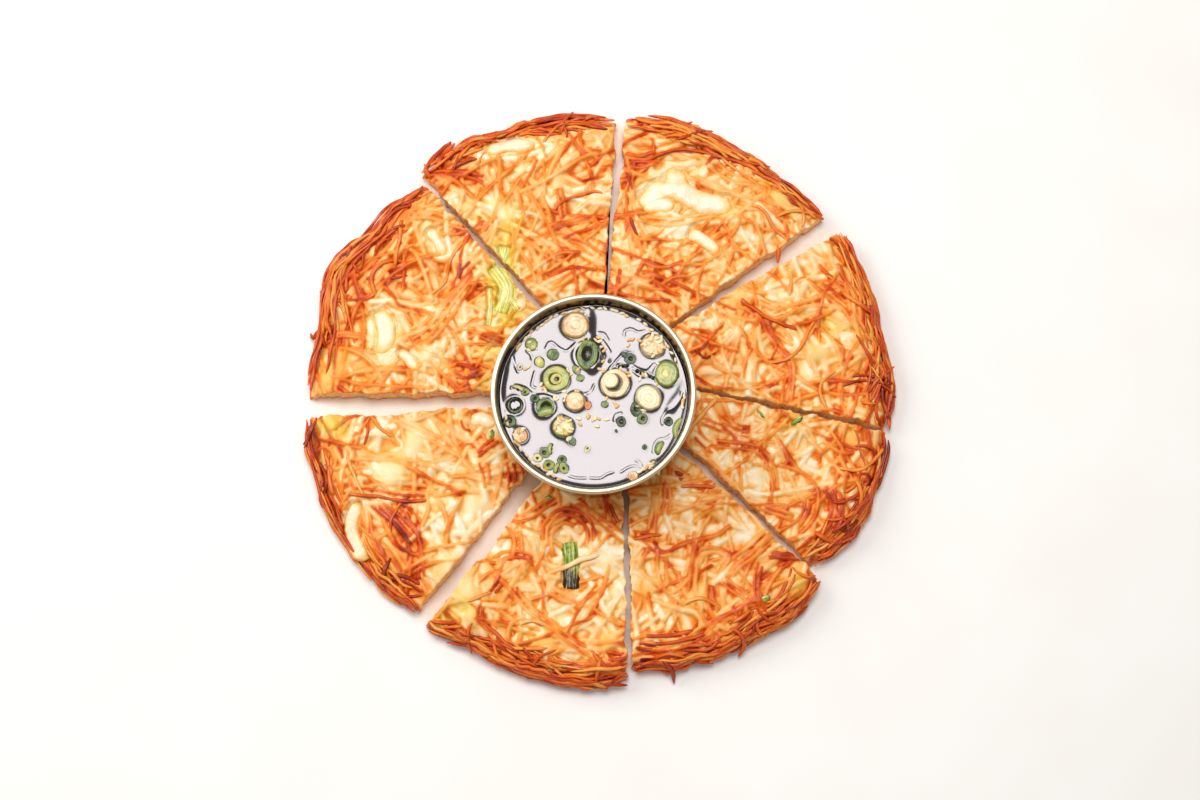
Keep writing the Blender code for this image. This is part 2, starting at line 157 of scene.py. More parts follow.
CORE_INSET = 1.6                # the batter stops this far inside the rim, where shreds take over
RIM_ROUND = 3.2                 # width over which the batter's edge rounds off at the rim
EDGE_RAG = 0.42                 # how far a cut edge is ragged
BATTER_SINK = 1.1               # the batter between shreds lies this far below its CAD top
SKIRT_ROWS = 6                  # rows of faces from a slice's edge down to the table
UNDER_POT = 9.9                 # nothing under the pot's foot is higher than this
FOOT_EDGE = 36.2                # from this far from the pot's axis on, shreds rise higher again
POT_CLEAR = 37.5                # loose shreds keep this far from the pot's axis
CLEAR_HEIGHT = 10.6             # and lie no higher than this there
RIM_FALL = 2.4                  # how far the batter's top falls where it rounds off at the rim
EDGE_FALL = (0.5, 0.5)          # how far it falls at a cut edge, and over what width
EDGE_CATCH = 0.75               # nodes this near the outline, in mesh steps, are drawn to it
EDGE_SLACK = 0.45               # and nodes this far outside it still count
WALL_STEP = 3                   # a side faces away from its neighbours this many vertices apart
SIDE_BLEND = 1.5                # width over which a cut face turns into the rim's side
RIM_BULGE = 0.9                 # how far the rim's side bulges, and how far it draws in below
RIM_UNDERCUT = 1.4
LAYER_BULGE = 0.45              # how far shreds in the rim's side stand out
CUT_BULGE = 0.3                 # the same in a cut face, and how far that slopes inwards
CUT_SLOPE = 0.25
CRUST = (1.8, 1.4)              # height of the browned crust below, and how softly it ends
CUT_TONE = 0.30
SIDE_TONE = 0.66                # of the rim's side
CUT_EGG = 0.7
# Browning of the whole pancake: how strong each kind of blotch is, its width, and its noise's layer
BLOTCHES = ((0.14, 21.0, 4.0), (0.12, 8.0, 5.0))
RIM_BROWNING = (0.16, 9.0)      # how much browner the rim is, and how wide a band
PALE_ROUND_PIECE = 0.16         # how much paler the batter is round squid and greens
BROWN_PATCH = 0.6               # share of its amount that a browner patch is browned by
PAINTED_CREVICE_SHADE = 0.34             # how much darker crevices are painted, as shade, and how much browner crests are
CREST_TONE = 0.10
BATTER_TONE = 0.30
BATTER_LUMPS = 0.25

# Shreds that are part of the relief, layer by layer: how many, widths, depths, lengths, tones from
# pale to dark, and how far below their mean height the egg batter poured over them stands
FILLERS = (
    (720, (2.8, 4.2), (0.7, 1.0), (22.0, 60.0), (0.06, 0.30), 0.26),
    (480, (2.3, 3.3), (0.8, 1.1), (20.0, 60.0), (0.08, 0.40), 0.28),
    (330, (1.9, 2.7), (0.8, 1.2), (20.0, 60.0), (0.16, 0.50), 0.40),
    (210, (1.5, 2.2), (0.8, 1.1), (18.0, 50.0), (0.42, 0.66), 0.62),
)
STRAND_REACH = 2.2              # how far before a bump a strand starts to rise over it
STRAND_LIFT = 0.84              # share of that bump's height that lifts the strand
STRAND_SINK = 0.30              # share of its depth that a strand sinks in
STRAND_TAPER = 1.6              # length over which its ends get thinner
STRAND_ROUND = 2.6              # how square its section is: 2 is round
STRAND_MOTTLE = 0.12            # how uneven its tone is along it
STRAND_BROWNING = 0.7           # share of the pancake's browning that it takes
STREAK_TONE = 0.13              # how dark the fibres along it are, and how deep to that
STREAK_DEPTH = 0.6
EGG_LEFT = 0.35                 # share of the egg below that still shows where a strand lies
EGG_WHERE_PALE = 1.8            # how much more egg there is in paler places, and in known patches
EGG_IN_PATCH = 0.8
EGG_BLUR = 1.6                  # its level follows the shreds' mean height over this radius
EGG_FOLLOWS = 0.36              # and the shreds themselves by this share
EGG_CLEAR = 0.66                # how much of their tone shows through it
# Which way a random strand runs: this share follows the nearest known shred, up to the second
# share it follows a slow drift over the whole pancake, and the others lie as they fall. Near the
# rim, most run along it
FOLLOWING = 0.58
DRIFTING = 0.92
ALONG_RIM = 0.75
STRAND_RADIUS = 126.0           # strands are spread within this radius
NEAR_RIM = 108.0
WALK = 2.0                      # between the points of a random line
EMBEDDED_TONE = 0.79            # known shreds paler than this are pressed in, the others lie loose
PRESSED_PALER = 0.10            # how much paler a known shred is where it is pressed in
EDGE_BROWNING_AND_SHADE = 0.28                # how much browner a shred's edges are than its middle, if it isn't pale: partly browning, partly painted shade along its sides
LOOSE_SHREDS = 3                # random ones on each slice's top
LOOSE_WIDTH = (1.3, 2.0)
LOOSE_FLATNESS = 0.54           # depth to width
LOOSE_LENGTH = (14.0, 34.0)
LOOSE_SHORTEST = 10.0           # how much of it has to lie on the slice
LOOSE_TRIES = 60                # places tried for each
LOOSE_TONE = (0.46, 0.72)
STRAY = 2.6                     # how far a loose shred may stick out past the rim
DIVE = 5.0                      # the last stretch of a loose shred, over which it dives out of sight
# Shreds stacked along the rim: height, distance outside the batter's plan, and how many a slice
RIM_LAYERS = (
    (1.2, -1.2, 5), (2.4, -0.4, 6), (3.6, 0.0, 7), (4.8, 0.3, 8), (6.0, 0.1, 8), (7.1, -0.5, 9),
    (8.0, -1.5, 9), (8.8, -2.6, 9), (9.4, -4.0, 8), (9.8, -5.6, 6),
)
RIM_HOOKS = 7.0                 # above this height some hook inwards, and all keep off squid and greens
RIM_UPPER = 8.0                 # from this height on they stray inwards
RIM_SHARES = (0.9, 1.0, 0.6, 0.8, 0.5, 1.0, 1.0, 0.6)       # of those kept, slice by slice
RIM_POINTS = 13                 # along a line, before it is rounded
RIM_WIDTH = (0.9, 1.8)
HOOKED = 0.35                   # share of the rim's shreds that turn inwards at one end
RIM_LENGTH = (0.16, 0.46)       # as shares of the slice's rim
RIM_TONE = (0.54, 0.84)
RIM_CROSSERS = 12               # shorter shreds a slice that lie slantwise over the others
CROSSER_LENGTH = (8.0, 20.0)
CROSSER_WIDTH = (1.1, 1.9)
CROSSER_LIFT = (0.3, 1.0)
RIM_FLATNESS = 0.8
RIM_PILE = 7.4                  # height of the stacked shreds where the batter ends
RIM_PILE_SLOPE = 0.8            # how much they fall off further out, and what is left at least
LOWEST_PILE = 1.4
SHRED_STEP = 1.6                # between the rings of a loose shred
SECTION = ((1.0, 0.0), (0.56, 0.9), (-0.56, 0.9), (-1.0, 0.0), (-0.56, -0.9), (0.56, -0.9))     # of a shred

# Shreds that stand out in the photograph, slice by slice: tone, width, how many side by side,
# and the pixels along them.
GUIDES = {
    1: (
        (0.66, 2.4, 2, ((763, 317), (770, 334), (781, 349), (792, 368), (789, 403))),
        (0.56, 2.2, 1, ((789, 264), (791, 280), (789, 297))),
        (0.64, 2.1, 1, ((750, 278), (756, 303), (757, 328))),
        (0.50, 2.2, 2, ((759, 300), (773, 306), (787, 309))),
        (0.62, 2.2, 1, ((792, 325), (806, 322), (820, 317), (836, 309))),
        (0.58, 2.4, 2, ((854, 269), (858, 290), (857, 309), (864, 342))),
        (0.74, 2.2, 1, ((861, 266), (867, 292), (862, 325))),
        (0.82, 2.2, 1, ((868, 288), (877, 306), (872, 328))),
        (0.78, 2.2, 1, ((700, 352), (712, 336), (725, 320))),
        (0.86, 2.2, 1, ((694, 346), (704, 358), (716, 352))),
        (0.84, 2.2, 2, ((839, 384), (862, 377), (890, 382), (893, 398), (888, 422))),
        (0.72, 1.9, 1, ((767, 326), (776, 344), (771, 360))),
        (0.70, 2.0, 1, ((745, 382), (757, 384), (766, 379))),
        (0.62, 2.0, 1, ((832, 338), (842, 348), (843, 362))),
        (0.55, 2.0, 1, ((802, 340), (806, 355), (812, 368))),
        (0.60, 2.2, 1, ((838, 262), (846, 284), (850, 312))),
        (0.74, 2.2, 1, ((842, 250), (852, 262), (858, 280))),
        (0.66, 1.8, 1, ((793, 284), (800, 279), (808, 277))),
        (0.62, 2.2, 1, ((843, 388), (842, 402), (846, 414))),
        (0.64, 2.2, 1, ((866, 386), (868, 402), (866, 418))),
        (0.76, 2.0, 1, ((690, 330), (706, 331), (716, 336))),
    ),
    2: (
        (0.60, 2.4, 2, ((628, 115), (644, 109), (666, 115))),
        (0.44, 2.6, 2, ((641, 123), (674, 120), (706, 133), (722, 144))),
        (0.72, 2.4, 3, ((714, 135), (754, 154), (778, 175), (821, 206))),
        (0.54, 2.3, 1, ((707, 167), (734, 182), (759, 186), (765, 191), (755, 198), (741, 196), (714, 191))),
        (0.50, 2.2, 1, ((716, 161), (730, 172), (748, 181), (762, 180), (770, 190), (762, 201))),
        (0.66, 2.0, 1, ((714, 191), (702, 188), (695, 180))),
        (0.56, 2.4, 2, ((637, 217), (660, 221), (684, 221), (735, 204))),
        (0.78, 2.2, 1, ((629, 213), (633, 226), (639, 240))),
        (0.76, 1.8, 1, ((626, 168), (630, 182), (635, 195))),
        (0.72, 2.2, 1, ((652, 136), (654, 146), (653, 154))),
        (0.52, 2.4, 1, ((655, 132), (676, 139), (702, 142))),
        (0.68, 2.2, 1, ((697, 141), (712, 154), (706, 166))),
        (0.60, 2.2, 2, ((622, 152), (640, 156), (660, 152))),
        (0.66, 2.2, 1, ((627, 166), (642, 167), (656, 162))),
        (0.46, 2.2, 1, ((746, 155), (748, 165), (746, 176))),
        (0.66, 2.2, 1, ((770, 208), (780, 218), (792, 222))),
        (0.62, 2.2, 1, ((741, 214), (737, 228), (727, 240))),
        (0.56, 2.1, 1, ((756, 204), (765, 216), (770, 230))),
        (0.68, 2.0, 2, ((705, 141), (722, 147), (745, 152))),
        (0.66, 2.1, 1, ((660, 286), (672, 278), (688, 276))),
        (0.62, 2.1, 1, ((640, 262), (660, 268), (684, 262))),
        (0.72, 2.0, 1, ((650, 280), (668, 292), (682, 296))),
        (0.42, 2.0, 1, ((772, 196), (784, 200), (794, 208))),
        (0.50, 1.8, 1, ((788, 190), (793, 200), (800, 208))),
    ),
    3: (
        (0.78, 2.4, 2, ((424, 168), (433, 154), (449, 134))),
        (0.80, 2.3, 1, ((449, 158), (453, 149), (459, 143))),
        (0.68, 2.3, 2, ((423, 170), (446, 171), (471, 175), (486, 182))),
        (0.64, 2.3, 1, ((437, 172), (455, 180), (475, 199))),
        (0.70, 2.4, 2, ((477, 140), (509, 128), (535, 133))),
        (0.68, 2.4, 2, ((528, 122), (550, 118), (573, 115), (616, 114))),
        (0.66, 2.5, 1, ((578, 112), (580, 130), (582, 148), (588, 158))),
        (0.56, 2.3, 2, ((583, 119), (600, 121), (618, 119))),
        (0.46, 2.2, 1, ((584, 129), (600, 130), (618, 128))),
        (0.42, 2.6, 1, ((519, 192), (548, 179), (579, 160), (610, 149))),
        (0.70, 2.2, 1, ((538, 158), (531, 172), (521, 187))),
        (0.82, 2.4, 1, ((566, 168), (575, 176), (585, 180), (599, 178))),
        (0.62, 2.2, 2, ((558, 187), (562, 203), (565, 219))),
        (0.62, 2.1, 1, ((519, 190), (521, 205), (524, 216))),
        (0.64, 2.1, 1, ((541, 194), (548, 210), (554, 226))),
        (0.60, 2.1, 1, ((500, 196), (496, 212), (497, 222))),
        (0.66, 2.2, 1, ((592, 214), (598, 222), (606, 226))),
        (0.62, 2.0, 2, ((548, 228), (570, 222), (592, 218))),
        (0.68, 2.2, 1, ((477, 133), (487, 124), (492, 122))),
        (0.58, 2.1, 1, ((463, 175), (480, 165), (497, 158))),
        (0.72, 2.0, 1, ((535, 134), (542, 146), (546, 158))),
        (0.60, 2.0, 1, ((548, 134), (556, 128), (566, 131))),
        (0.66, 2.0, 1, ((585, 148), (596, 152), (604, 151))),
        (0.62, 2.2, 1, ((545, 262), (560, 254), (582, 252))),
        (0.70, 2.1, 1, ((548, 276), (572, 268), (598, 270))),
        (0.58, 2.1, 1, ((530, 236), (545, 246), (556, 262))),
    ),
    4: (
        (0.86, 2.4, 3, ((426, 195), (408, 201), (388, 209), (363, 239), (334, 265))),
        (0.80, 2.3, 2, ((409, 228), (390, 234), (370, 243), (344, 262))),
        (0.60, 2.4, 1, ((330, 266), (322, 276), (326, 292))),
        (0.84, 2.1, 1, ((335, 292), (343, 306), (346, 320))),
        (0.66, 2.2, 2, ((321, 334), (313, 342), (309, 352), (306, 385))),
        (0.44, 2.5, 1, ((410, 236), (399, 252), (388, 268), (369, 291))),
        (0.46, 2.6, 1, ((416, 253), (424, 272), (432, 296))),
        (0.64, 2.3, 3, ((476, 274), (458, 297), (446, 314), (432, 334), (414, 347))),
        (0.60, 2.2, 1, ((329, 375), (352, 382), (373, 385), (432, 388))),
        (0.74, 2.2, 1, ((454, 365), (466, 366), (479, 372))),
        (0.82, 1.7, 1, ((384, 279), (395, 278), (407, 275))),
        (0.74, 2.2, 1, ((344, 300), (366, 299), (378, 290))),
        (0.66, 2.1, 1, ((362, 300), (354, 312), (351, 328))),
        (0.62, 2.2, 2, ((320, 340), (340, 334), (366, 336))),
        (0.54, 2.4, 1, ((338, 348), (356, 352), (372, 364), (384, 382))),
        (0.58, 2.2, 1, ((402, 346), (408, 362), (414, 382))),
        (0.60, 2.2, 1, ((416, 346), (436, 356), (456, 362))),
        (0.74, 2.3, 2, ((474, 262), (462, 276), (452, 292))),
        (0.62, 2.2, 1, ((482, 282), (496, 300), (512, 322))),
        (0.74, 2.3, 2, ((478, 334), (492, 340), (504, 344))),
        (0.64, 2.2, 1, ((430, 304), (440, 290), (452, 280))),
        (0.72, 2.0, 1, ((472, 252), (478, 244), (482, 238))),
        (0.72, 2.2, 2, ((446, 372), (466, 376), (486, 370))),
        (0.58, 2.3, 2, ((412, 218), (430, 216), (448, 220))),
        (0.56, 2.1, 1, ((386, 300), (398, 308), (418, 312))),
        (0.80, 2.1, 1, ((466, 382), (472, 392), (476, 398))),
    ),
    5: (
        (0.84, 2.3, 2, ((308, 453), (318, 466), (324, 479), (320, 498), (328, 514), (343, 525))),
        (0.62, 2.3, 1, ((306, 417), (317, 436), (346, 445), (363, 449))),
        (0.68, 2.3, 1, ((331, 432), (342, 422), (356, 415), (386, 409), (419, 407))),
        (0.80, 2.1, 1, ((365, 418), (368, 432), (363, 445))),
        (0.46, 2.4, 2, ((395, 418), (412, 428), (440, 442), (466, 456))),
        (0.80, 2.3, 2, ((346, 490), (362, 493), (379, 494), (405, 499), (432, 497))),
        (0.66, 2.0, 1, ((432, 497), (450, 494), (468, 491))),
        (0.70, 2.3, 3, ((373, 501), (385, 511), (398, 522), (415, 542))),
        (0.80, 2.3, 2, ((384, 576), (404, 578), (426, 590))),
        (0.84, 2.2, 1, ((386, 588), (404, 596), (424, 594))),
        (0.72, 2.3, 2, ((482, 462), (486, 476), (487, 490))),
        (0.80, 2.3, 2, ((508, 460), (512, 472), (512, 486))),
        (0.76, 2.3, 2, ((475, 457), (486, 448), (498, 438))),
        (0.52, 2.3, 1, ((346, 445), (352, 456), (340, 468), (326, 466))),
        (0.62, 2.2, 1, ((352, 490), (350, 476), (360, 467), (370, 470))),
        (0.46, 2.3, 1, ((372, 460), (392, 460), (420, 462))),
        (0.54, 2.3, 1, ((426, 490), (428, 508), (422, 528))),
        (0.56, 2.2, 1, ((462, 496), (452, 516), (446, 536))),
        (0.60, 2.3, 2, ((363, 505), (368, 524), (372, 546), (382, 560))),
        (0.62, 2.2, 1, ((352, 488), (344, 500), (336, 512))),
        (0.70, 2.0, 1, ((462, 446), (470, 444), (476, 448))),
        (0.72, 2.3, 1, ((390, 540), (404, 550), (418, 556))),
        (0.76, 2.0, 1, ((460, 418), (464, 428), (470, 431))),
        (0.60, 2.2, 1, ((404, 572), (422, 560), (438, 552))),
        (0.62, 2.1, 1, ((312, 452), (322, 446), (332, 452), (334, 466))),
        (0.78, 2.2, 1, ((338, 522), (352, 530), (362, 546), (378, 566))),
        (0.52, 2.2, 1, ((386, 426), (392, 438), (402, 446))),
    ),
    6: (
        (0.66, 2.3, 2, ((545, 548), (546, 526), (560, 512), (578, 514), (590, 528), (590, 548))),
        (0.60, 2.1, 1, ((553, 556), (552, 536), (563, 523), (576, 526))),
        (0.70, 2.6, 2, ((494, 561), (503, 555), (514, 554), (526, 556), (535, 562))),
        (0.62, 2.3, 1, ((510, 645), (508, 634), (513, 622), (526, 616))),
        (0.70, 2.5, 2, ((512, 586), (520, 598), (532, 612), (552, 626), (566, 638), (580, 648), (601, 659))),
        (0.76, 2.4, 1, ((597, 584), (585, 600), (575, 617), (565, 634))),
        (0.72, 2.3, 1, ((542, 576), (544, 592), (543, 606), (548, 617))),
        (0.78, 2.2, 2, ((504, 577), (496, 588), (490, 594))),
        (0.76, 2.3, 2, ((485, 601), (480, 610), (482, 622), (499, 632))),
        (0.80, 2.4, 3, ((446, 636), (470, 641), (494, 645), (520, 658), (542, 669))),
        (0.82, 2.4, 2, ((542, 671), (560, 677), (590, 680), (628, 682))),
        (0.62, 2.3, 1, ((530, 678), (545, 687), (575, 688), (602, 680))),
        (0.82, 2.3, 1, ((609, 500), (614, 514), (621, 527))),
        (0.70, 2.3, 2, ((576, 501), (590, 512), (603, 523), (626, 540))),
        (0.44, 2.3, 2, ((548, 572), (560, 575), (580, 565), (602, 556))),
        (0.52, 2.2, 1, ((547, 584), (560, 592), (578, 598))),
        (0.50, 2.2, 1, ((545, 590), (560, 600), (574, 604))),
        (0.62, 2.3, 1, ((520, 530), (521, 542), (523, 554))),
        (0.58, 2.3, 1, ((508, 525), (514, 540), (512, 556))),
        (0.66, 2.3, 2, ((514, 520), (528, 516), (546, 504), (556, 498))),
        (0.60, 2.3, 1, ((546, 540), (542, 556), (536, 572))),
        (0.72, 2.3, 3, ((604, 658), (616, 660), (628, 658))),
        (0.68, 2.4, 2, ((552, 661), (575, 668), (600, 668), (622, 676))),
        (0.60, 2.2, 1, ((590, 606), (606, 618), (622, 626))),
        (0.66, 2.2, 1, ((506, 556), (500, 570), (494, 586))),
        (0.70, 2.2, 1, ((442, 610), (456, 622), (470, 634))),
        (0.66, 2.2, 1, ((478, 582), (488, 574), (502, 570))),
    ),
    7: (
        (0.70, 2.4, 2, ((631, 535), (643, 536), (653, 539))),
        (0.68, 2.5, 1, ((653, 542), (662, 553), (675, 548), (686, 543), (702, 539), (717, 535), (732, 524))),
        (0.58, 2.3, 1, ((657, 547), (657, 562), (659, 578), (668, 593), (680, 588), (690, 576))),
        (0.66, 2.6, 2, ((700, 539), (696, 560), (691, 593))),
        (0.58, 2.6, 3, ((772, 532), (762, 542), (750, 554), (735, 566), (724, 578))),
        (0.74, 2.3, 2, ((762, 562), (757, 578), (757, 594), (763, 608))),
        (0.76, 2.5, 3, ((634, 642), (652, 644), (671, 643), (692, 638), (711, 632))),
        (0.78, 2.3, 2, ((634, 662), (660, 660), (686, 657), (724, 660))),
        (0.80, 2.1, 1, ((664, 662), (673, 669), (675, 681))),
        (0.62, 2.1, 1, ((741, 630), (747, 640), (741, 655))),
        (0.70, 2.3, 2, ((717, 628), (716, 642), (724, 651), (738, 648), (747, 634))),
        (0.78, 2.3, 2, ((758, 603), (766, 614), (777, 619), (793, 615), (809, 602))),
        (0.82, 2.2, 1, ((672, 468), (680, 474), (690, 474))),
        (0.84, 2.2, 1, ((674, 478), (682, 480), (688, 477))),
        (0.72, 2.1, 1, ((697, 487), (703, 486), (709, 484))),
        (0.66, 2.3, 2, ((666, 482), (668, 500), (664, 516))),
        (0.52, 2.3, 2, ((656, 492), (654, 512), (651, 532))),
        (0.58, 2.2, 1, ((692, 524), (704, 514), (716, 508))),
        (0.66, 2.3, 1, ((696, 604), (703, 618), (712, 628))),
        (0.70, 2.1, 1, ((648, 590), (650, 604), (655, 618))),
        (0.74, 2.2, 1, ((678, 616), (672, 628), (665, 640))),
        (0.64, 2.4, 2, ((708, 584), (710, 600), (718, 618))),
        (0.60, 2.3, 2, ((722, 578), (738, 592), (752, 602))),
        (0.68, 2.4, 2, ((768, 554), (786, 556), (806, 556))),
        (0.58, 2.3, 1, ((782, 566), (770, 584), (764, 598))),
        (0.72, 2.2, 1, ((732, 606), (738, 616), (742, 622))),
        (0.56, 2.3, 2, ((700, 552), (716, 550), (728, 556), (722, 566))),
        (0.80, 2.2, 2, ((746, 634), (758, 624), (770, 618))),
        (0.66, 2.2, 1, ((716, 468), (734, 492), (746, 510))),
        (0.42, 2.1, 1, ((782, 592), (796, 584), (812, 576))),
        (0.50, 1.8, 1, ((786, 602), (796, 592), (804, 590))),
    ),
    8: (
        (0.70, 2.5, 2, ((714, 443), (732, 446), (750, 448), (762, 454), (770, 464), (775, 482), (774, 501))),
        (0.76, 2.3, 1, ((752, 464), (762, 466), (771, 470))),
        (0.62, 2.5, 1, ((778, 464), (792, 468), (806, 475), (815, 485), (818, 497), (814, 518), (799, 535))),
        (0.58, 2.4, 1, ((799, 537), (788, 541), (774, 538))),
        (0.70, 2.4, 3, ((829, 487), (835, 500), (834, 516), (826, 532), (812, 544))),
        (0.80, 2.4, 2, ((888, 431), (889, 445), (886, 460), (876, 487))),
        (0.82, 2.4, 2, ((874, 489), (862, 508), (848, 525), (832, 537))),
        (0.76, 2.1, 1, ((858, 480), (861, 474), (868, 474), (872, 481), (866, 486))),
        (0.66, 1.9, 1, ((757, 446), (768, 438), (780, 428), (789, 424))),
        (0.74, 2.3, 1, ((784, 448), (788, 460), (782, 466))),
        (0.68, 2.2, 2, ((720, 416), (730, 424), (740, 428), (752, 430))),
        (0.72, 2.2, 1, ((694, 436), (704, 446), (714, 454))),
        (0.62, 2.2, 1, ((742, 466), (741, 480), (738, 494))),
        (0.62, 2.2, 2, ((730, 480), (740, 496), (748, 506))),
        (0.66, 2.3, 2, ((760, 506), (776, 512), (796, 520))),
        (0.66, 2.1, 1, ((818, 456), (830, 446), (838, 438))),
        (0.76, 2.1, 1, ((812, 421), (824, 420), (836, 418))),
        (0.60, 2.2, 1, ((838, 456), (846, 470), (844, 488))),
        (0.64, 2.2, 1, ((868, 428), (872, 446), (876, 462))),
        (0.66, 2.1, 1, ((704, 452), (712, 446), (718, 452))),
        (0.56, 2.2, 1, ((822, 440), (840, 452), (856, 452))),
        (0.72, 2.3, 2, ((808, 500), (804, 514), (796, 526))),
        (0.74, 2.3, 2, ((842, 498), (846, 512), (838, 528))),
    ),
}
# Shreds that aren't cut off at the slice's edge or at squid and greens: slice, tone, width, how far
# they are lifted, and pixels
BRIDGES = (
    (1, 0.66, 2.2, 0.4, ((778, 243), (779, 252), (778, 262))),
    (6, 0.30, 2.3, 0.0, ((544, 575), (556, 571), (568, 566), (580, 560), (592, 557), (604, 552))),
    (3, 0.72, 2.4, 0.0, ((430, 176), (425, 167), (431, 155), (440, 144), (449, 133))),
    (3, 0.64, 2.2, 0.0, ((440, 168), (438, 159), (445, 148), (453, 136))),
    (3, 0.76, 2.0, 0.0, ((466, 150), (458, 146), (461, 139))),
    (7, 0.80, 1.8, 0.0, ((660, 656), (667, 664), (673, 671), (675, 682))),
    (7, 0.68, 1.9, 0.0, ((728, 628), (738, 632), (745, 644), (740, 655))),
    (8, 0.66, 2.4, 0.0, ((812, 530), (822, 537), (834, 541), (846, 539))),
    (4, 0.74, 2.0, 0.0, ((326, 322), (316, 330), (310, 334), (307, 328))),
)

# Browned and pale patches: pixel at the middle, radius in pixels, and how much is added to the tone
PATCHES = (
    ((736, 328), 14, -0.3), ((747, 384), 14, -0.35), ((712, 309), 10, -0.2), ((756, 366), 8, -0.2),
    ((789, 342), 8, -0.2), ((803, 370), 12, -0.3), ((827, 349), 12, -0.3), ((847, 303), 8, -0.1),
    ((707, 349), 12, 0.45), ((702, 370), 10, 0.3), ((799, 269), 12, 0.15), ((847, 255), 10, 0.35),
    ((764, 325), 8, 0.25), ((879, 370), 8, 0.4), ((881, 391), 8, 0.4), ((851, 396), 12, 0.25),
    ((874, 300), 8, 0.3), ((840, 285), 14, 0.15),
    ((651, 187), 12, -0.2), ((680, 229), 14, -0.35), ((664, 175), 10, -0.3), ((765, 175), 8, -0.2),
    ((785, 199), 10, -0.2), ((761, 223), 8, -0.1), ((807, 215), 8, -0.1), ((640, 159), 12, 0.25),
    ((640, 113), 10, 0.2), ((703, 158), 8, 0.35), ((762, 215), 9, 0.25), ((779, 229), 7, 0.35),
    ((628, 180), 6, 0.3), ((633, 227), 6, 0.3), ((707, 135), 10, 0.25), ((665, 270), 12, 0.2),
    ((484, 154), 8, -0.2), ((497, 170), 9, -0.25), ((522, 169), 9, -0.3), ((504, 189), 12, -0.2),
    ((491, 202), 10, -0.25), ((505, 215), 12, -0.3), ((541, 196), 10, -0.25), ((537, 217), 10, -0.25),
    ((578, 210), 10, -0.25), ((599, 192), 10, -0.25), ((548, 131), 10, -0.1), ((596, 131), 10, -0.1),
    ((468, 210), 12, -0.2), ((446, 169), 14, 0.3), ((573, 164), 8, 0.35), ((590, 178), 8, 0.3),
    ((541, 173), 10, 0.2), ((558, 225), 9, 0.3), ((446, 188), 8, 0.25), ((572, 262), 14, 0.15),
    ((438, 239), 10, -0.3), ((376, 319), 12, -0.3), ((395, 360), 10, -0.3), ((425, 356), 14, -0.35),
    ((438, 315), 12, -0.35), ((454, 344), 12, -0.35), ((475, 253), 8, -0.2), ((447, 287), 8, -0.2),
    ((328, 381), 8, -0.15), ((482, 360), 6, -0.2), ((520, 300), 9, -0.3), ((403, 202), 12, 0.35),
    ((363, 239), 14, 0.35), ((340, 264), 12, 0.35), ((388, 230), 12, 0.2), ((362, 296), 8, 0.35),
    ((345, 319), 8, 0.3), ((310, 353), 8, 0.35), ((310, 382), 8, 0.35), ((458, 271), 8, 0.3),
    ((494, 337), 8, 0.35), ((458, 363), 8, 0.3), ((475, 372), 8, 0.3), ((403, 365), 6, 0.35),
    ((328, 422), 10, -0.15), ((384, 425), 14, -0.2), ((415, 428), 15, -0.25), ((415, 448), 12, -0.25),
    ((391, 478), 18, -0.3), ((443, 467), 12, -0.25), ((496, 467), 10, -0.3), ((481, 420), 12, -0.2),
    ((437, 502), 12, -0.3), ((415, 523), 10, -0.2), ((435, 530), 10, -0.2), ((471, 507), 18, -0.35),
    ((454, 554), 16, -0.25), ((362, 490), 8, 0.3), ((404, 498), 12, 0.25), ((390, 523), 12, 0.25),
    ((405, 540), 14, 0.3), ((387, 564), 16, 0.4), ((407, 589), 16, 0.45), ((478, 473), 10, 0.2),
    ((510, 473), 8, 0.35), ((334, 495), 10, 0.2), ((313, 431), 10, 0.25), ((322, 487), 8, 0.4),
    ((492, 557), 12, -0.25), ((607, 555), 20, -0.35), ((614, 594), 15, -0.3), ((529, 601), 12, -0.25),
    ((524, 617), 10, -0.2), ((499, 542), 10, -0.15), ((562, 623), 10, -0.25), ((462, 594), 12, -0.05),
    ((590, 645), 12, -0.15), ((573, 521), 12, 0.2), ((513, 562), 10, 0.15), ((496, 592), 8, 0.25),
    ((521, 651), 12, 0.25), ((613, 660), 12, 0.35), ((452, 628), 10, 0.2), ((569, 500), 14, 0.15),
    ((545, 640), 12, 0.0), ((683, 497), 14, -0.3), ((640, 509), 10, -0.15), ((634, 578), 14, -0.2),
    ((668, 526), 8, -0.25), ((744, 532), 10, -0.2), ((698, 585), 8, -0.15), ((723, 539), 8, -0.2),
    ((780, 546), 5, -0.35), ((663, 613), 12, -0.2), ((654, 544), 8, 0.35), ((679, 474), 7, 0.45),
    ((723, 601), 14, 0.25), ((691, 639), 12, 0.25), ((783, 559), 10, 0.3), ((763, 624), 6, 0.35),
    ((816, 591), 8, 0.3), ((640, 657), 10, 0.4), ((691, 660), 12, 0.3), ((732, 549), 8, 0.2),
    ((767, 412), 10, -0.3), ((806, 436), 16, -0.3), ((810, 464), 10, -0.25), ((759, 478), 14, -0.35),
    ((726, 460), 8, -0.2), ((770, 433), 8, -0.15), ((787, 529), 8, -0.15), ((848, 506), 8, -0.1),
    ((867, 453), 8, -0.15), ((722, 415), 10, 0.15), ((743, 450), 8, 0.25), ((767, 453), 8, 0.25),
    ((788, 460), 8, 0.25), ((834, 499), 12, 0.3), ((834, 520), 12, 0.3), ((883, 447), 8, 0.35),
    ((865, 481), 6, 0.3), ((806, 513), 8, 0.2), ((764, 510), 8, 0.2), ((712, 436), 10, 0.15),
)
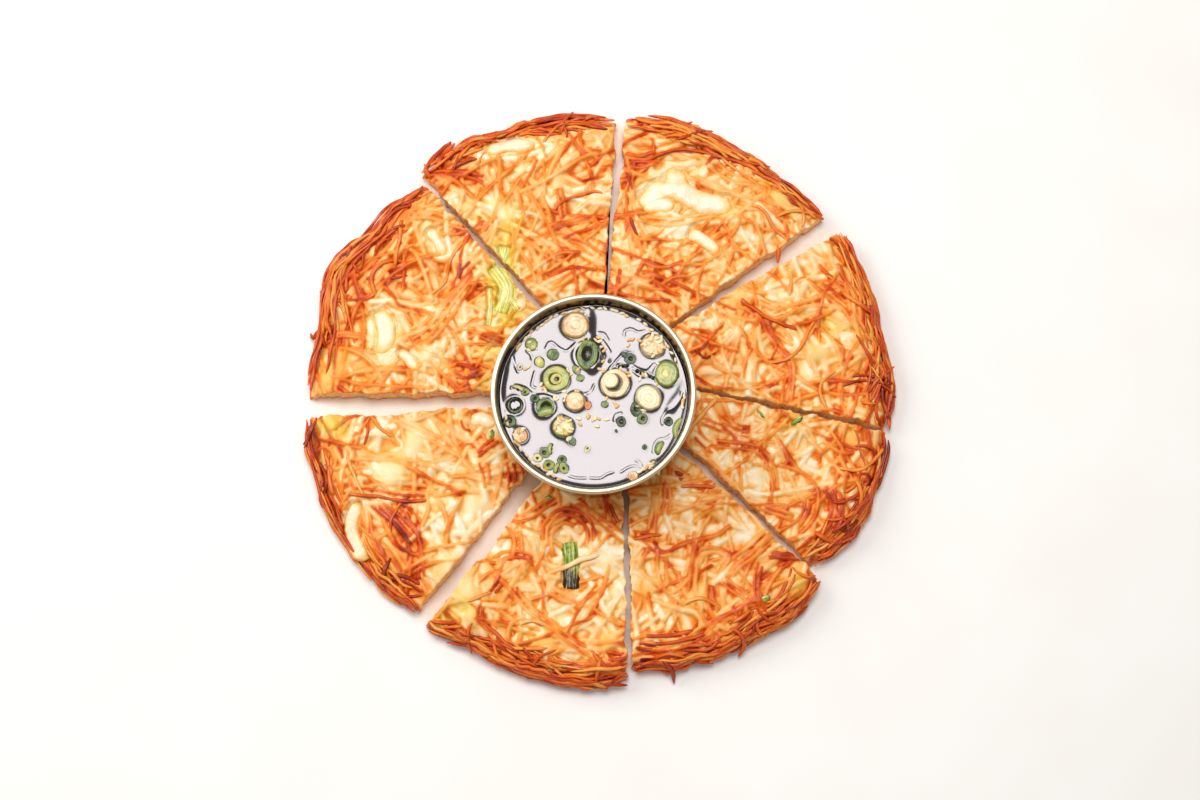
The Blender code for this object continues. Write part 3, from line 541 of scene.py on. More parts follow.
# Patches where egg batter lies over the shreds: pixel and radius in pixels
EGG = (
    (462, 594, 16), (545, 640, 18), (478, 616, 12), (328, 424, 14), (345, 440, 12), (798, 581, 18),
    (775, 200, 18), (800, 214, 12), (765, 176, 10), (330, 378, 14), (505, 215, 14), (812, 352, 13),
    (840, 370, 11), (548, 131, 14), (648, 590, 14), (700, 600, 16), (420, 500, 12), (785, 505, 16),
    (850, 440, 13), (345, 355, 16), (560, 180, 14), (735, 300, 12), (720, 395, 16), (610, 640, 14),
    (455, 570, 18), (395, 470, 11), (345, 470, 10), (324, 480, 12), (640, 205, 12), (725, 215, 16),
    (428, 228, 12),
)

# Places where leek and egg yolk tint the batter yellow-green: pixel, radius in pixels, and how much
STAINS = (
    ((504, 256), 16, 0.95), ((498, 276), 14, 0.8), ((503, 296), 17, 0.9), ((508, 320), 14, 0.7),
    ((511, 226), 16, 0.7), ((484, 380), 12, 0.6), ((492, 348), 13, 0.8), ((339, 429), 15, 0.7),
    ((324, 420), 12, 0.5), ((441, 624), 12, 0.6), ((463, 607), 16, 0.6), ((532, 637), 14, 0.5),
    ((829, 326), 16, 0.6), ((862, 335), 12, 0.4), ((763, 178), 14, 0.4), ((787, 195), 16, 0.5),
    ((334, 362), 14, 0.5), ((375, 345), 12, 0.4), ((790, 420), 14, 0.5), ((655, 210), 14, 0.3),
    ((797, 590), 16, 0.6), ((705, 510), 12, 0.4),
)
# Small bits of green in the batter: pixel, length, width, turn in degrees
GREEN_BITS = (
    (797, 421, 6.0, 2.2, 40), (761, 414, 4.5, 1.0, -50), (766, 599, 3.6, 2.6, 20),
    (549, 497, 2.6, 1.6, 0), (516, 514, 2.4, 1.8, 60), (492, 434, 3.6, 3.0, 80),
    (556, 222, 2.2, 1.4, 20), (702, 502, 2.0, 1.2, 10),
)
# Squid that shows less than the six pieces of the part: middle line in pixels, and width
SQUID_BITS = (
    (((675, 200), (674, 187), (679, 166)), 12.0),
    (((643, 206), (660, 204), (676, 204)), 8.0),
    (((468, 420), (482, 418), (494, 428)), 7.0),
    (((398, 350), (408, 358), (416, 368)), 5.0),
    (((526, 296), (520, 304), (512, 308)), 6.0),
    (((782, 544), (787, 547), (790, 551)), 4.0),
)
# Leek beside the piece of the part: middle line in pixels, and width
LEEK_BITS = (
    (((489, 288), (490, 306), (488, 326)), 3.2),
    (((504, 246), (503, 256), (499, 265)), 5.0),
    (((509, 299), (515, 303), (520, 309)), 4.5),
)
BIT_HEIGHT = 3.4                # of these smaller pieces
BIT_RISE = 1.3                  # how far their tops stand above the batter's
PIECE_ENDS = {"squid": 0.85, "leek": 0.14, "scallion": 0.14}    # length of its rounded ends to its width
PIECE_MARGIN = 1.5              # room is looked at this far out from a piece's middle line
PIECE_SIDE = 1.2                # how far down a piece's sides go
STRIP_SIDES = 8                 # of the rings of a small strip of green


# ------------------------------------------------------------------ camera, places and the plan

LENS = 50.0
SENSOR = 36.0
IMAGE = (1200, 800)
LOOK_DOWN = 77.0                # degrees below the horizon
CAMERA_DISTANCE = 700.0
AIM = Vector((-3.76, -9.54, 12.0))
SIGHT = Vector((0.0, math.cos(math.radians(LOOK_DOWN)), -math.sin(math.radians(LOOK_DOWN))))
CAMERA = AIM - CAMERA_DISTANCE * SIGHT
FOCAL = LENS / SENSOR * IMAGE[0]        # the camera's focal length in pixels


def hub_in_frame():
    """The hub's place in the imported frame, from the box of the pot."""
    low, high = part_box("dip_pot")
    return 0.5 * (low + high).to_2d() / MM - POT_CENTRE


HUB = hub_in_frame()


def to_frame(points):
    """Points of the plan, as an array of the frame's metres."""
    return (np.asarray(points, float) + (HUB.x, HUB.y, 0.0)) * MM


def seen_at(pixel, height):
    """The point of the plan at this height that shows at a pixel of the photograph."""
    up = Vector((0.0, -SIGHT.z, SIGHT.y))
    ray = FOCAL * SIGHT + (0.5 * IMAGE[1] - pixel[1]) * up
    ray.x += pixel[0] - 0.5 * IMAGE[0]
    return (CAMERA + ray * ((height - CAMERA.z) / ray.z)).to_2d()


def polar(degrees, radius):
    """The point at this angle and distance from the hub."""
    turn = math.radians(degrees)
    return Vector((radius * math.cos(turn), radius * math.sin(turn)))


def way_of(vector):
    """The angle in degrees at which a vector points."""
    return math.degrees(math.atan2(vector[1], vector[0]))


def from_axis(x, y):
    """How far points of the plan lie from the pot's axis."""
    return np.hypot(x - POT_CENTRE.x, y - POT_CENTRE.y)


def smooth(value):
    """Ease from 0 to 1 as value goes from 0 to 1. Works on numbers and arrays."""
    value = np.clip(value, 0.0, 1.0)
    return value * value * (3.0 - 2.0 * value)


def wobble(x, y, scale, layer=0.0):
    """Smooth noise from -1 to 1 with lumps of about this scale."""
    return noise.noise((x / scale, y / scale, layer + 0.37))


def wobbles(x, y, scale, layer=0.0):
    """wobble() at every point of two arrays."""
    pairs = zip((np.asarray(x) / scale).ravel().tolist(), (np.asarray(y) / scale).ravel().tolist())
    values = [noise.noise((a, b, layer + 0.37)) for a, b in pairs]
    return np.array(values).reshape(np.shape(x))


def cut_face(cut, radius, side):
    """A point on one face of a cut. side is 1 for its left face and -1 for its right face."""
    angle, offset, gap_at_pot, gap_at_rim = CUTS[cut % len(CUTS)]
    if radius < POT_RADIUS:
        gap = HUB_GAP + (gap_at_pot - HUB_GAP) * radius / POT_RADIUS
    else:
        share = (radius - POT_RADIUS) / (MEAN_RIM - POT_RADIUS)
        gap = gap_at_pot + (gap_at_rim - gap_at_pot) * share
    past_tip = smooth(radius / POT_RADIUS - 0.5)
    waver = CUT_WAVER * wobble(radius, 40.0 * cut, WAVER_SCALE) * past_tip
    coarse, fine = (wobble(radius, 40.0 * cut + 13.0 * side, scale) for scale in RAG_SCALES)
    torn = max(CUT_RAG * (coarse + 0.5 * fine + 0.08), -0.3 * gap) * past_tip
    lateral = float(offset * smooth(radius / POT_RADIUS) + waver + side * (0.5 * gap + torn))
    return polar(angle, radius) + lateral * polar(angle + 90.0, 1.0)


def turned_near(angle, near):
    """The angle as the turn, in degrees, that lies closest to another angle."""
    return angle + 360.0 * np.round((near - angle) / 360.0)


RADII = np.arange(0.5, 150.0, 0.5)


def face_angles(cut, side, near):
    """The angle of one face of a cut at each of RADII."""
    points = [cut_face(cut, radius, side) for radius in RADII]
    return turned_near(np.array([way_of(point) for point in points]), near)


def rim_radius(number, across):
    """The rim's distance from the hub, across a slice from 0 at its right to 1 at its left."""
    radii = RIM_RADII[number - 1]
    place = min(0.999, max(0.0, across)) * (len(radii) - 1)
    step = int(place)
    radius = radii[step] + (radii[step + 1] - radii[step]) * float(smooth(place - step))
    return radius + RIM_WAVER * wobble(70.0 * number, 140.0 * across, WAVER_SCALE)


ACROSS = np.linspace(0.0, 1.0, 121)
RIMS = {n: np.array([rim_radius(n, across) for across in ACROSS]) for n in SLICES}
FACES = {}
for n in SLICES:
    start, end = CUTS[n - 1][0], CUTS[n % len(CUTS)][0] + (360.0 if n == len(CUTS) else 0.0)
    FACES[n] = face_angles(n - 1, 1, start), face_angles(n, -1, end)


class Place:
    """Where points lie in a slice: across it, and their distances from its faces, rim and tip."""

    def __init__(self, number, x, y):
        self.radius = np.hypot(x, y)
        self.first = np.interp(self.radius, RADII, FACES[number][0])
        self.last = np.interp(self.radius, RADII, FACES[number][1])
        angle = np.degrees(np.arctan2(y, x))
        self.angle = turned_near(angle, 0.5 * (self.first + self.last))
        self.across = (self.angle - self.first) / (self.last - self.first)
        arc = np.radians(1.0) * self.radius
        self.from_right = (self.angle - self.first) * arc
        self.from_left = (self.last - self.angle) * arc
        self.rim = np.interp(self.across, ACROSS, RIMS[number])
        self.inside = self.rim - self.radius
        self.from_tip = self.radius - HUB_RADIUS

    def margin(self):
        """The distance from the nearest cut face, negative outside the slice."""
        return np.minimum(self.from_right, self.from_left)


def rim_point(number, across, outside):
    """The point this far outside the rim, at a place across the slice."""
    radius = float(np.interp(across, ACROSS, RIMS[number])) + outside
    first = float(np.interp(radius, RADII, FACES[number][0]))
    last = float(np.interp(radius, RADII, FACES[number][1]))
    return polar(first + (last - first) * across, radius)


def slice_at(x, y):
    """The number of the slice whose span holds each point, and how far inside its rim it is."""
    number = np.zeros(np.shape(x), int)
    inside = np.zeros(np.shape(x))
    best = np.full(np.shape(x), -1e9)
    for candidate in SLICES:
        place = Place(candidate, x, y)
        better = place.margin() > best
        best = np.where(better, place.margin(), best)
        number = np.where(better, candidate, number)
        inside = np.where(better, place.inside, inside)
    return number, inside


def batter_height(x, y, inside):
    """Height of the batter at points that lie this far inside the rim."""
    dip = CORE_LUMP * np.maximum(0.0, 0.5 - 1.4 * wobbles(x, y, LUMP_SCALE))
    dip = dip * smooth((from_axis(x, y) - POT_FOOT) / RIM_SLOPE)
    return CORE_TOP - dip - RIM_DROP * (1.0 - smooth(inside / RIM_SLOPE))


# ------------------------------------------------------------------ lines

CURVE_STEPS = 12                # from one given point of a curve to the next
STREAK_LENGTH = 0.6             # between the rows of a table of fibres along shreds, and its size
STREAK_WIDTH = 0.32
STREAK_ROWS = 512
STREAK_COLUMNS = 64
STREAK_CHANGE = 2.2             # how far apart the columns are in the noise that fills the table


def evenly(points, step):
    """The polyline's points, taken again at even steps along it."""
    points = np.asarray(points, float)
    lengths = np.hypot(*np.diff(points[:, :2], axis=0).T)
    along = np.concatenate(([0.0], np.cumsum(lengths)))
    count = max(3, int(round(along[-1] / step)) + 1)
    places = np.linspace(0.0, along[-1], count)
    return np.stack([np.interp(places, along, column) for column in points.T], axis=1)


def curved(points, step):
    """A smooth curve through a few points, as points at even steps."""
    points = [Vector(point) for point in points]
    ends = [2.0 * points[0] - points[1]] + points + [2.0 * points[-1] - points[-2]]
    dense = []
    for a, b, c, d in zip(ends, ends[1:], ends[2:], ends[3:]):
        for k in range(CURVE_STEPS):
            t = k / CURVE_STEPS
            bend = (2.0 * a - 5.0 * b + 4.0 * c - d) * t * t + (3.0 * b - 3.0 * c + d - a) * t ** 3
            dense.append(0.5 * (2.0 * b + (c - a) * t + bend))
    dense.append(points[-1])
    return evenly([tuple(point) for point in dense], step)


def directions(line):
    """Unit vectors along a line of points, and across it to the left."""
    along = np.gradient(line[:, :2], axis=0)
    along /= np.maximum(1e-9, np.hypot(*along.T))[:, None]
    return along, np.stack((-along[:, 1], along[:, 0]), axis=1)


def beside(line, distance, draw):
    """A line that runs beside another, now closer and now farther."""
    across = directions(line)[1]
    phase = draw.uniform(0.0, 6.3)
    places = np.linspace(0.0, 1.0, len(line))
    gap = distance * (1.0 + 0.28 * np.sin(3.0 * places + phase))
    return line[:, :2] + across * gap[:, None]


def softened(values, reach):
    """Values along a line, raised to their highest neighbour and then evened out."""
    reach = max(1, int(reach))
    padded = np.pad(values, reach, mode="edge")
    windows = np.lib.stride_tricks.sliding_window_view(padded, 2 * reach + 1)
    raised = np.pad(windows.max(axis=1), reach, mode="edge")
    kernel = np.hanning(2 * reach + 3)[1:-1]
    return np.convolve(raised, kernel / kernel.sum(), mode="valid")


STREAK_TABLE = wobbles(*np.meshgrid(np.arange(STREAK_ROWS) * STREAK_LENGTH,
                                    np.arange(STREAK_COLUMNS) * STREAK_CHANGE, indexing="ij"), 5.0, 15.0)


def streaks(along, across, draw):
    """Fibres of a shred, from -1 to 1, at places along and across it."""
    i = (along / STREAK_LENGTH + draw.uniform(0.0, 500.0)).astype(int) % STREAK_ROWS
    j = (across / STREAK_WIDTH + draw.uniform(0.0, 60.0)).astype(int) % STREAK_COLUMNS
    return STREAK_TABLE[i, j]


# ------------------------------------------------------------------ relief

def piece_top(out, height, rise):
    """Height above the sunk batter of a soft piece's top, from 0 at its middle line to 1 at its edge."""
    return BATTER_SINK + rise - 0.3 - 0.38 * height * out ** 3


class Relief:
    """Heights, browning and egg batter on a square grid over the whole pancake."""

    def __init__(self):
        self.count = int(2.0 * RELIEF_REACH / PITCH) + 1
        self.axis = np.arange(self.count) * PITCH - RELIEF_REACH
        self.x, self.y = np.meshgrid(self.axis, self.axis, indexing="ij")
        self.inside = self.eased(lambda x, y: slice_at(x, y)[1])
        self.batter = self.eased(lambda x, y: batter_height(x, y, slice_at(x, y)[1])) - BATTER_SINK
        self.height = BATTER_LUMPS * np.maximum(0.0, self.eased(wobbles, 5.0, 2.0))
        self.tone = np.full(self.x.shape, BATTER_TONE)
        self.egg = np.zeros(self.x.shape)
        self.stain = sum(amount * self.spot(pixel, radius) for pixel, radius, amount in STAINS)
        self.blocked = np.zeros(self.x.shape, bool)
        self.cap = np.full(self.x.shape, 99.0)
        self.piece = np.full(self.x.shape, -99.0)
        self.browning = self.find_browning()
        self.pile = None

    def eased(self, function, *settings):
        """A smooth function of x and y, found on a coarse grid and interpolated on this one."""
        coarse = np.linspace(-RELIEF_REACH, RELIEF_REACH, COARSE_NODES)
        values = function(*np.meshgrid(coarse, coarse, indexing="ij"), *settings)
        place = (self.axis + RELIEF_REACH) / (coarse[1] - coarse[0])
        place = np.clip(place, 0.0, COARSE_NODES - 1.001)
        step = place.astype(int)
        share = place - step
        rows = values[step] * (1.0 - share)[:, None] + values[step + 1] * share[:, None]
        return rows[:, step] * (1.0 - share) + rows[:, step + 1] * share

    def find_browning(self):
        """How much more than usual each place is browned: blotches, the rim, and known patches."""
        browning = sum(amount * self.eased(wobbles, scale, layer) for amount, scale, layer in BLOTCHES)
        amount, width = RIM_BROWNING
        browning += amount * (1.0 - smooth(self.inside / width))
        for pixel, radius, amount in PATCHES:
            browning += min(amount, BROWN_PATCH * amount) * self.spot(pixel, radius)
        for line, width, _, _ in TOPPINGS.values():
            for point in line:
                browning -= PALE_ROUND_PIECE * self.bell(point, 0.9 * width)
        return browning

    def bell(self, middle, size):
        """A soft round spot on the grid, 1 at its middle."""
        by_x, by_y = (np.exp(-((self.axis - place) / size) ** 2) for place in middle)
        return by_x[:, None] * by_y[None, :]

    def spot(self, pixel, radius):
        """The same about a pixel, with its radius in pixels."""
        return self.bell(seen_at(pixel, CORE_TOP), 1.1 * (radius * CAMERA_DISTANCE / FOCAL))

    def nodes(self, points):
        """Indices of the grid's nodes that lie nearest to points."""
        index = np.rint((points + RELIEF_REACH) / PITCH).astype(int)
        return np.clip(index, 0, self.count - 1)

    def sample(self, field, line):
        """A field's values under a line of points."""
        index = self.nodes(line[:, :2])
        return field[index[:, 0], index[:, 1]]

    def blurred(self, field, radius):
        """The field, blurred over this radius."""
        turns = np.fft.fftfreq(self.count, PITCH)
        rows, columns = np.meshgrid(turns, turns[:self.count // 2 + 1], indexing="ij")
        keep = np.exp(-2.0 * (math.pi * radius) ** 2 * (rows ** 2 + columns ** 2))
        return np.fft.irfft2(np.fft.rfft2(field) * keep, s=field.shape)

    def footprint(self, line, width):
        """Nodes under a strand: their indices, the line's step each belongs to, and how far
        across the strand each lies, from -1 to 1."""
        across = directions(line)[1]
        offsets = np.arange(-0.5 * width, 0.5 * width + PITCH, STRAND_STEP)
        points = line[:, None, :2] + across[:, None, :] * offsets[None, :, None]
        index = self.nodes(points).reshape(-1, 2)
        flat, first = np.unique(index[:, 0] * self.count + index[:, 1], return_index=True)
        step = first // len(offsets)
        i, j = flat // self.count, flat % self.count
        away = np.stack((self.x[i, j], self.y[i, j]), axis=1) - line[step, :2]
        share = (away * across[step]).sum(axis=1) / (0.5 * width)
        keep = np.abs(share) < 1.0
        return i[keep], j[keep], step[keep], share[keep]

    def lay(self, line, width, depth, tone, draw):
        """Lay a strand on the relief. It drapes over what lies there and sinks in a little."""
        i, j, step, share = self.footprint(line, width)
        places = np.arange(len(line))
        under = softened(self.sample(self.height, line), STRAND_REACH / STRAND_STEP)
        to_end = np.minimum(places, places[::-1]) * STRAND_STEP
        taper = np.sqrt(np.clip(to_end / STRAND_TAPER + 0.08, 0.0, 1.0))
        level = STRAND_LIFT * under - STRAND_SINK * depth
        top = level[step] + depth * taper[step] * np.sqrt(1.0 - np.abs(share) ** STRAND_ROUND)
        seen = top > self.height[i, j]
        i, j, step, share, top = i[seen], j[seen], step[seen], share[seen], top[seen]
        phase = draw.uniform(0.0, 60.0)
        mottle = np.array([wobble(k * STRAND_STEP + phase, phase, 7.0, 9.0) for k in places])
        strand_tone = tone + STRAND_MOTTLE * mottle + STRAND_BROWNING * self.sample(self.browning, line)
        streak = STREAK_TONE * streaks(step * STRAND_STEP, 0.5 * width * share, draw)
        self.height[i, j] = top + STREAK_DEPTH * streak
        # The strand's edges are darker: partly browning, partly painted shade along its sides
        edge_darkening = EDGE_BROWNING_AND_SHADE * float(smooth((tone + 0.05) / 0.5))
        self.tone[i, j] = strand_tone[step] + streak + edge_darkening * np.abs(share) ** 4
        self.egg[i, j] *= EGG_LEFT

    def pour_egg(self, depth):
        """Let thin egg batter fill the hollows between shreds, most of all in its known patches."""
        amount = 0.10 + 0.55 * self.eased(wobbles, 13.0, 12.0)
        amount += EGG_WHERE_PALE * np.clip(-0.08 - self.browning, 0.0, 0.5)
        for *pixel, radius in EGG:
            amount += EGG_IN_PATCH * self.spot(pixel, radius)
        mean = self.blurred(self.height, EGG_BLUR)
        level = mean - depth + 0.35 * np.clip(amount, -0.6, 1.0) + 0.5 * smooth((amount - 0.45) / 0.5)
        level += EGG_FOLLOWS * (self.height - mean)
        covered = smooth((level - self.height) / 0.35 + 0.3)
        film = 0.33 + 0.7 * self.browning + 0.12 * self.eased(wobbles, 3.6, 13.0 + depth)
        film = (1.0 - EGG_CLEAR) * film + EGG_CLEAR * self.blurred(self.tone, 0.4)
        self.height = np.maximum(self.height, level)
        self.tone += (film - self.tone) * covered
        self.egg = np.maximum(self.egg, covered * (0.45 + 0.5 * smooth(amount)))

    def under_piece(self, line, width, end_length):
        """Nodes under a soft piece: their indices, how far out each lies, from 0 on its middle line
        to 1 at its edge, and its shares along and across the piece."""
        path = curved(line, PIECE_STEP)
        i, j, step, share = self.footprint(path, PIECE_MARGIN * width)
        share = PIECE_MARGIN * share
        along = step / (len(path) - 1.0)
        from_end = np.minimum(along, 1.0 - along) * PIECE_STEP * len(path)
        end = np.maximum(0.0, 1.0 - from_end / (end_length * width))
        x, y = self.x[i, j], self.y[i, j]
        ragged = 1.0 + 0.24 * wobbles(x, y, 5.0, 60.0) + 0.10 * wobbles(x, y, 1.8, 61.0)
        out = (np.abs(share) ** 2.5 + end ** 2.5) ** 0.4 / ragged
        middle = path[len(path) // 2]
        keep = (out < 1.12) & (Place(int(slice_at(*middle)[0]), x, y).margin() > 0.5)
        return i[keep], j[keep], out[keep], along[keep], share[keep]

    def make_room(self, line, width, height, rise, end_length):
        """Keep the shreds below the top of a piece of squid or greens that lies here."""
        i, j, out, _, _ = self.under_piece(line, width, end_length)
        top = piece_top(out, height, rise)
        self.blocked[i, j] |= out < 1.0
        self.piece[i, j] = np.maximum(self.piece[i, j], top)
        cap = top - 0.4 + 2.0 * smooth((out - 0.80) / 0.34)
        self.cap[i, j] = np.minimum(self.cap[i, j], cap)

    def finish(self):
        """Even out the steps of the grid, paint shade into the crevices as a browner tone, brown the crests,
        and level the pot's place.
        """
        self.height = self.blurred(self.height, 0.24)
        # Painted shade: places lower than their surroundings get a browner tone, as if in shade
        crevice_shade = np.clip((self.blurred(self.height, 1.1) - self.height) / 0.7, 0.0, 1.0)
        crest = np.clip(self.height - self.blurred(self.height, 3.0), 0.0, 1.0)
        self.tone = self.blurred(self.tone + PAINTED_CREVICE_SHADE * crevice_shade + CREST_TONE * crest, 0.2)
        limit = UNDER_POT - self.batter + np.maximum(0.0, from_axis(self.x, self.y) - FOOT_EDGE)
        self.height = np.minimum(np.minimum(self.height, limit), self.cap)
        self.pile = np.maximum(self.height, self.piece)

    def on_mesh(self, field):
        """The field's values at the nodes that the mesh takes."""
        return field[::STRIDE, ::STRIDE]

    def top(self, line):
        """Height of what lies under a line of points, loose shreds included."""
        return self.sample(self.batter + self.pile, line)


def flow_line(guide_tree, guide_ways, draw, length):
    """A gently curved random line on the pancake, often along the shreds that are known."""
    radius = STRAND_RADIUS * math.sqrt(draw.random())
    turn = draw.uniform(0.0, 360.0)
    point = polar(turn, radius)
    kind = draw.random()
    if kind < FOLLOWING:
        _, index, distance = guide_tree.find(point.to_3d())
        heading = guide_ways[index] + draw.gauss(0.0, 10.0 + 1.8 * distance)
    elif kind < DRIFTING:
        heading = 260.0 * wobble(point.x, point.y, 30.0, 20.0) + draw.gauss(0.0, 14.0)
    else:
        heading = draw.uniform(0.0, 180.0)
    if radius > NEAR_RIM and draw.random() < ALONG_RIM:
        heading = turn + 90.0 + draw.gauss(0.0, 12.0)
    curl = draw.gauss(0.0, 3.2)
    point -= 0.5 * length * polar(heading, 1.0)
    heading -= 0.25 * curl * length
    line = []
    for _ in range(int(length / WALK) + 1):
        line.append(tuple(point))
        point = point + polar(heading, WALK)
        heading += curl + draw.gauss(0.0, 2.5)
        curl = 0.9 * curl + draw.gauss(0.0, 1.0)
    return line


def make_relief(guides):
    """The relief of all the shreds that are pressed into the pancake."""
    relief = Relief()
    draw = random.Random(SEED)
    for name, pieces in soft_pieces().items():
        for piece in pieces:
            relief.make_room(*piece, PIECE_ENDS[kind_of(name)])
    tree, ways = direction_tree(guides)
    for count, widths, depths, lengths, tones, egg_depth in FILLERS:
        for _ in range(count):
            line = evenly(flow_line(tree, ways, draw, draw.uniform(*lengths)), STRAND_STEP)
            relief.lay(line, draw.uniform(*widths), draw.uniform(*depths), draw.uniform(*tones), draw)
        relief.pour_egg(egg_depth)
    for _, line, width, tone in guides:
        if tone < EMBEDDED_TONE:
            depth = draw.uniform(0.9, 1.2)
            relief.lay(evenly(line, STRAND_STEP), width, depth, tone - PRESSED_PALER, draw)
    relief.finish()
    return relief


def direction_tree(guides):
    """A search tree over the points of the known shreds, and the way each one points."""
    points, ways = [], []
    for _, line, _, _ in guides:
        along = directions(line)[0]
        for point, way in list(zip(line, along))[::4]:
            points.append(Vector((point[0], point[1], 0.0)))
            ways.append(way_of(way))
    tree = KDTree(len(points))
    for index, point in enumerate(points):
        tree.insert(point, index)
    tree.balance()
    return tree, ways


# ------------------------------------------------------------------ meshes

class MeshBag:
    """Vertices, faces and vertex values, gathered for one object."""

    def __init__(self):
        self.points = []
        self.faces = []
        self.values = {}

    def add(self, points, faces, **values):
        """Add a piece: its points, its faces by its own numbering, and a value for each point."""
        base = sum(len(block) for block in self.points)
        self.points.append(np.asarray(points, float))
        self.faces.extend(tuple(index + base for index in face) for face in faces)
        for name, value in values.items():
            self.values.setdefault(name, []).append(np.broadcast_to(value, (len(points),)).astype(float))

    def make(self, name, material):
        """One object from all that was added, riding on the part's body."""
        data = bpy.data.meshes.new(name)
        data.from_pydata(to_frame(np.concatenate(self.points)).tolist(), [], self.faces)
        for key, blocks in self.values.items():
            layer = data.attributes.new(key, "FLOAT", "POINT")
            layer.data.foreach_set("value", np.concatenate(blocks).astype(np.float32))
        data.shade_smooth()
        data.materials.append(material)
        data.validate()
        thing = bpy.data.objects.new(name, data)
        bpy.context.scene.collection.objects.link(thing)
        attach(thing, "root")
        return thing


def ring_faces(rings, sides):
    """Faces of a tube of so many rings, and of its two ends."""
    faces = []
    for ring in range(rings - 1):
        for side in range(sides):
            a = ring * sides + side
            b = ring * sides + (side + 1) % sides
            faces.append((a, b, b + sides, a + sides))
    faces.append(tuple(range(sides))[::-1])
    faces.append(tuple(range((rings - 1) * sides, rings * sides)))
    return faces


def grid_faces(index):
    """The quads of a grid of vertex numbers, -1 where there is none: numbers used, and quads of those."""
    corners = np.stack((index[:-1, :-1], index[1:, :-1], index[1:, 1:], index[:-1, 1:]), axis=2)
    corners = corners.reshape(-1, 4)
    used, faces = np.unique(corners[(corners >= 0).all(axis=1)], return_inverse=True)
    return used, faces.reshape(-1, 4)


def edge_loop(faces):
    """Vertices round the outside of a sheet of faces, anticlockwise."""
    edges = np.concatenate([faces[:, [k, (k + 1) % 4]] for k in range(4)])
    size = int(faces.max()) + 1
    forward = edges[:, 0] * size + edges[:, 1]
    backward = edges[:, 1] * size + edges[:, 0]
    border = edges[~np.isin(forward, backward)]
    follow = dict(border.tolist())
    start = int(border[0, 0])
    loop = [start]
    while follow[loop[-1]] != start and len(loop) <= len(border):
        loop.append(follow[loop[-1]])
    return np.array(loop)


def wall_faces(upper, lower):
    """Quads between two loops of vertices that run anticlockwise."""
    return np.stack((upper, lower, np.roll(lower, -1), np.roll(upper, -1)), axis=1).tolist()


def add_shred(bag, line, width, depth, tone, draw):
    """A loose shred of potato: a strand of rounded square section along a line in space."""
    count = len(line)
    along = np.gradient(line, axis=0)
    along /= np.linalg.norm(along, axis=1)[:, None]
    side = np.stack((-along[:, 1], along[:, 0], np.zeros(count)), axis=1)
    side /= np.maximum(1e-6, np.linalg.norm(side, axis=1))[:, None]
    rise = np.cross(along, side)
    places = np.arange(count)
    phase = draw.uniform(0.0, 90.0)
    twist = np.array([0.9 * wobble(1.3 * k + phase, phase, 6.0) for k in places])
    girth = 1.0 + 0.16 * np.array([wobble(1.3 * k, phase, 4.0, 3.0) for k in places])
    girth[[0, -1]] *= 0.35
    girth[[1, -2]] *= 0.75
    rings, tones, across = [], [], []
    mottle = np.array([wobble(1.6 * k + phase, 2.0 * phase, 7.0, 7.0) for k in places])
    for u, v in SECTION:
        reach = 0.5 * width * girth * u
        lift = 0.5 * depth * girth * v
        c, s = np.cos(twist), np.sin(twist)
        rings.append(line + side * (reach * c - lift * s)[:, None] + rise * (reach * s + lift * c)[:, None])
        # The loose shred's sides are darker too: partly browning, partly painted shade
        tones.append(tone + 0.14 * mottle + 0.6 * EDGE_BROWNING_AND_SHADE * (abs(u) ** 3 - 0.35))
        across.append(np.full(count, 0.5 * width * u + 0.2 * v + phase))
    points = np.stack(rings, axis=1).reshape(-1, 3)
    along = np.repeat(SHRED_STEP * places + phase, len(SECTION))
    bag.add(points, ring_faces(count, len(SECTION)), tone=np.stack(tones, axis=1).ravel(), egg=0.0,
            along=along, across=np.stack(across, axis=1).ravel())


# ------------------------------------------------------------------ loose shreds

def longest_run(keep):
    """Start and end of the longest run of true values."""
    best, start = (0, 0), None
    for index, value in enumerate(list(keep) + [False]):
        if value and start is None:
            start = index
        elif not value and start is not None:
            if index - start > best[1] - best[0]:
                best = (start, index)
            start = None
    return best


def within_slice(number, line, slack=0.2):
    """The longest stretch of a line that lies between the slice's cut faces and off the pot."""
    place = Place(number, line[:, 0], line[:, 1])
    off_pot = from_axis(line[:, 0], line[:, 1]) > POT_CLEAR
    start, end = longest_run((place.margin() > -slack) & off_pot & (place.inside > -STRAY))
    return line[start:end]


def drape(relief, line, depth):
    """Heights at which a strand lies on the relief, from the line's own place."""
    past_batter = CORE_INSET - slice_at(line[:, 0], line[:, 1])[1]
    ground = np.where(past_batter < 0.0, relief.top(line), RIM_PILE - RIM_PILE_SLOPE * past_batter)
    ground = np.maximum(ground, LOWEST_PILE)
    spacing = math.dist(line[0, :2], line[1, :2])
    height = softened(ground, 2.0 / spacing) + 0.10 * depth
    place = np.arange(len(line)) * spacing
    height -= 1.25 * depth * (1.0 - smooth(np.minimum(place, place[-1] - place) / DIVE))
    limit = CLEAR_HEIGHT + np.maximum(0.0, from_axis(line[:, 0], line[:, 1]) - POT_CLEAR)
    return np.clip(height, 0.6 * depth, limit)


def place_shred(relief, bag, number, line, width, tone, draw, lift=0.0, clip=True):
    """Lay a loose shred on a slice, over what lies there, and remember its height."""
    if clip:
        line = within_slice(number, line)
    if len(line) < 6:
        return
    depth = width * LOOSE_FLATNESS
    heights = drape(relief, line, depth) + lift
    path = evenly(np.column_stack((line[:, :2], heights)), SHRED_STEP)
    if len(path) < 4:
        return
    tone += 0.35 * relief.sample(relief.browning, path)
    add_shred(bag, path, width, depth, tone, draw)
    i, j, step, share = relief.footprint(line, width)
    top = heights[step] + 0.5 * depth * np.sqrt(1.0 - share ** 2) - relief.batter[i, j]
    relief.pile[i, j] = np.maximum(relief.pile[i, j], top)


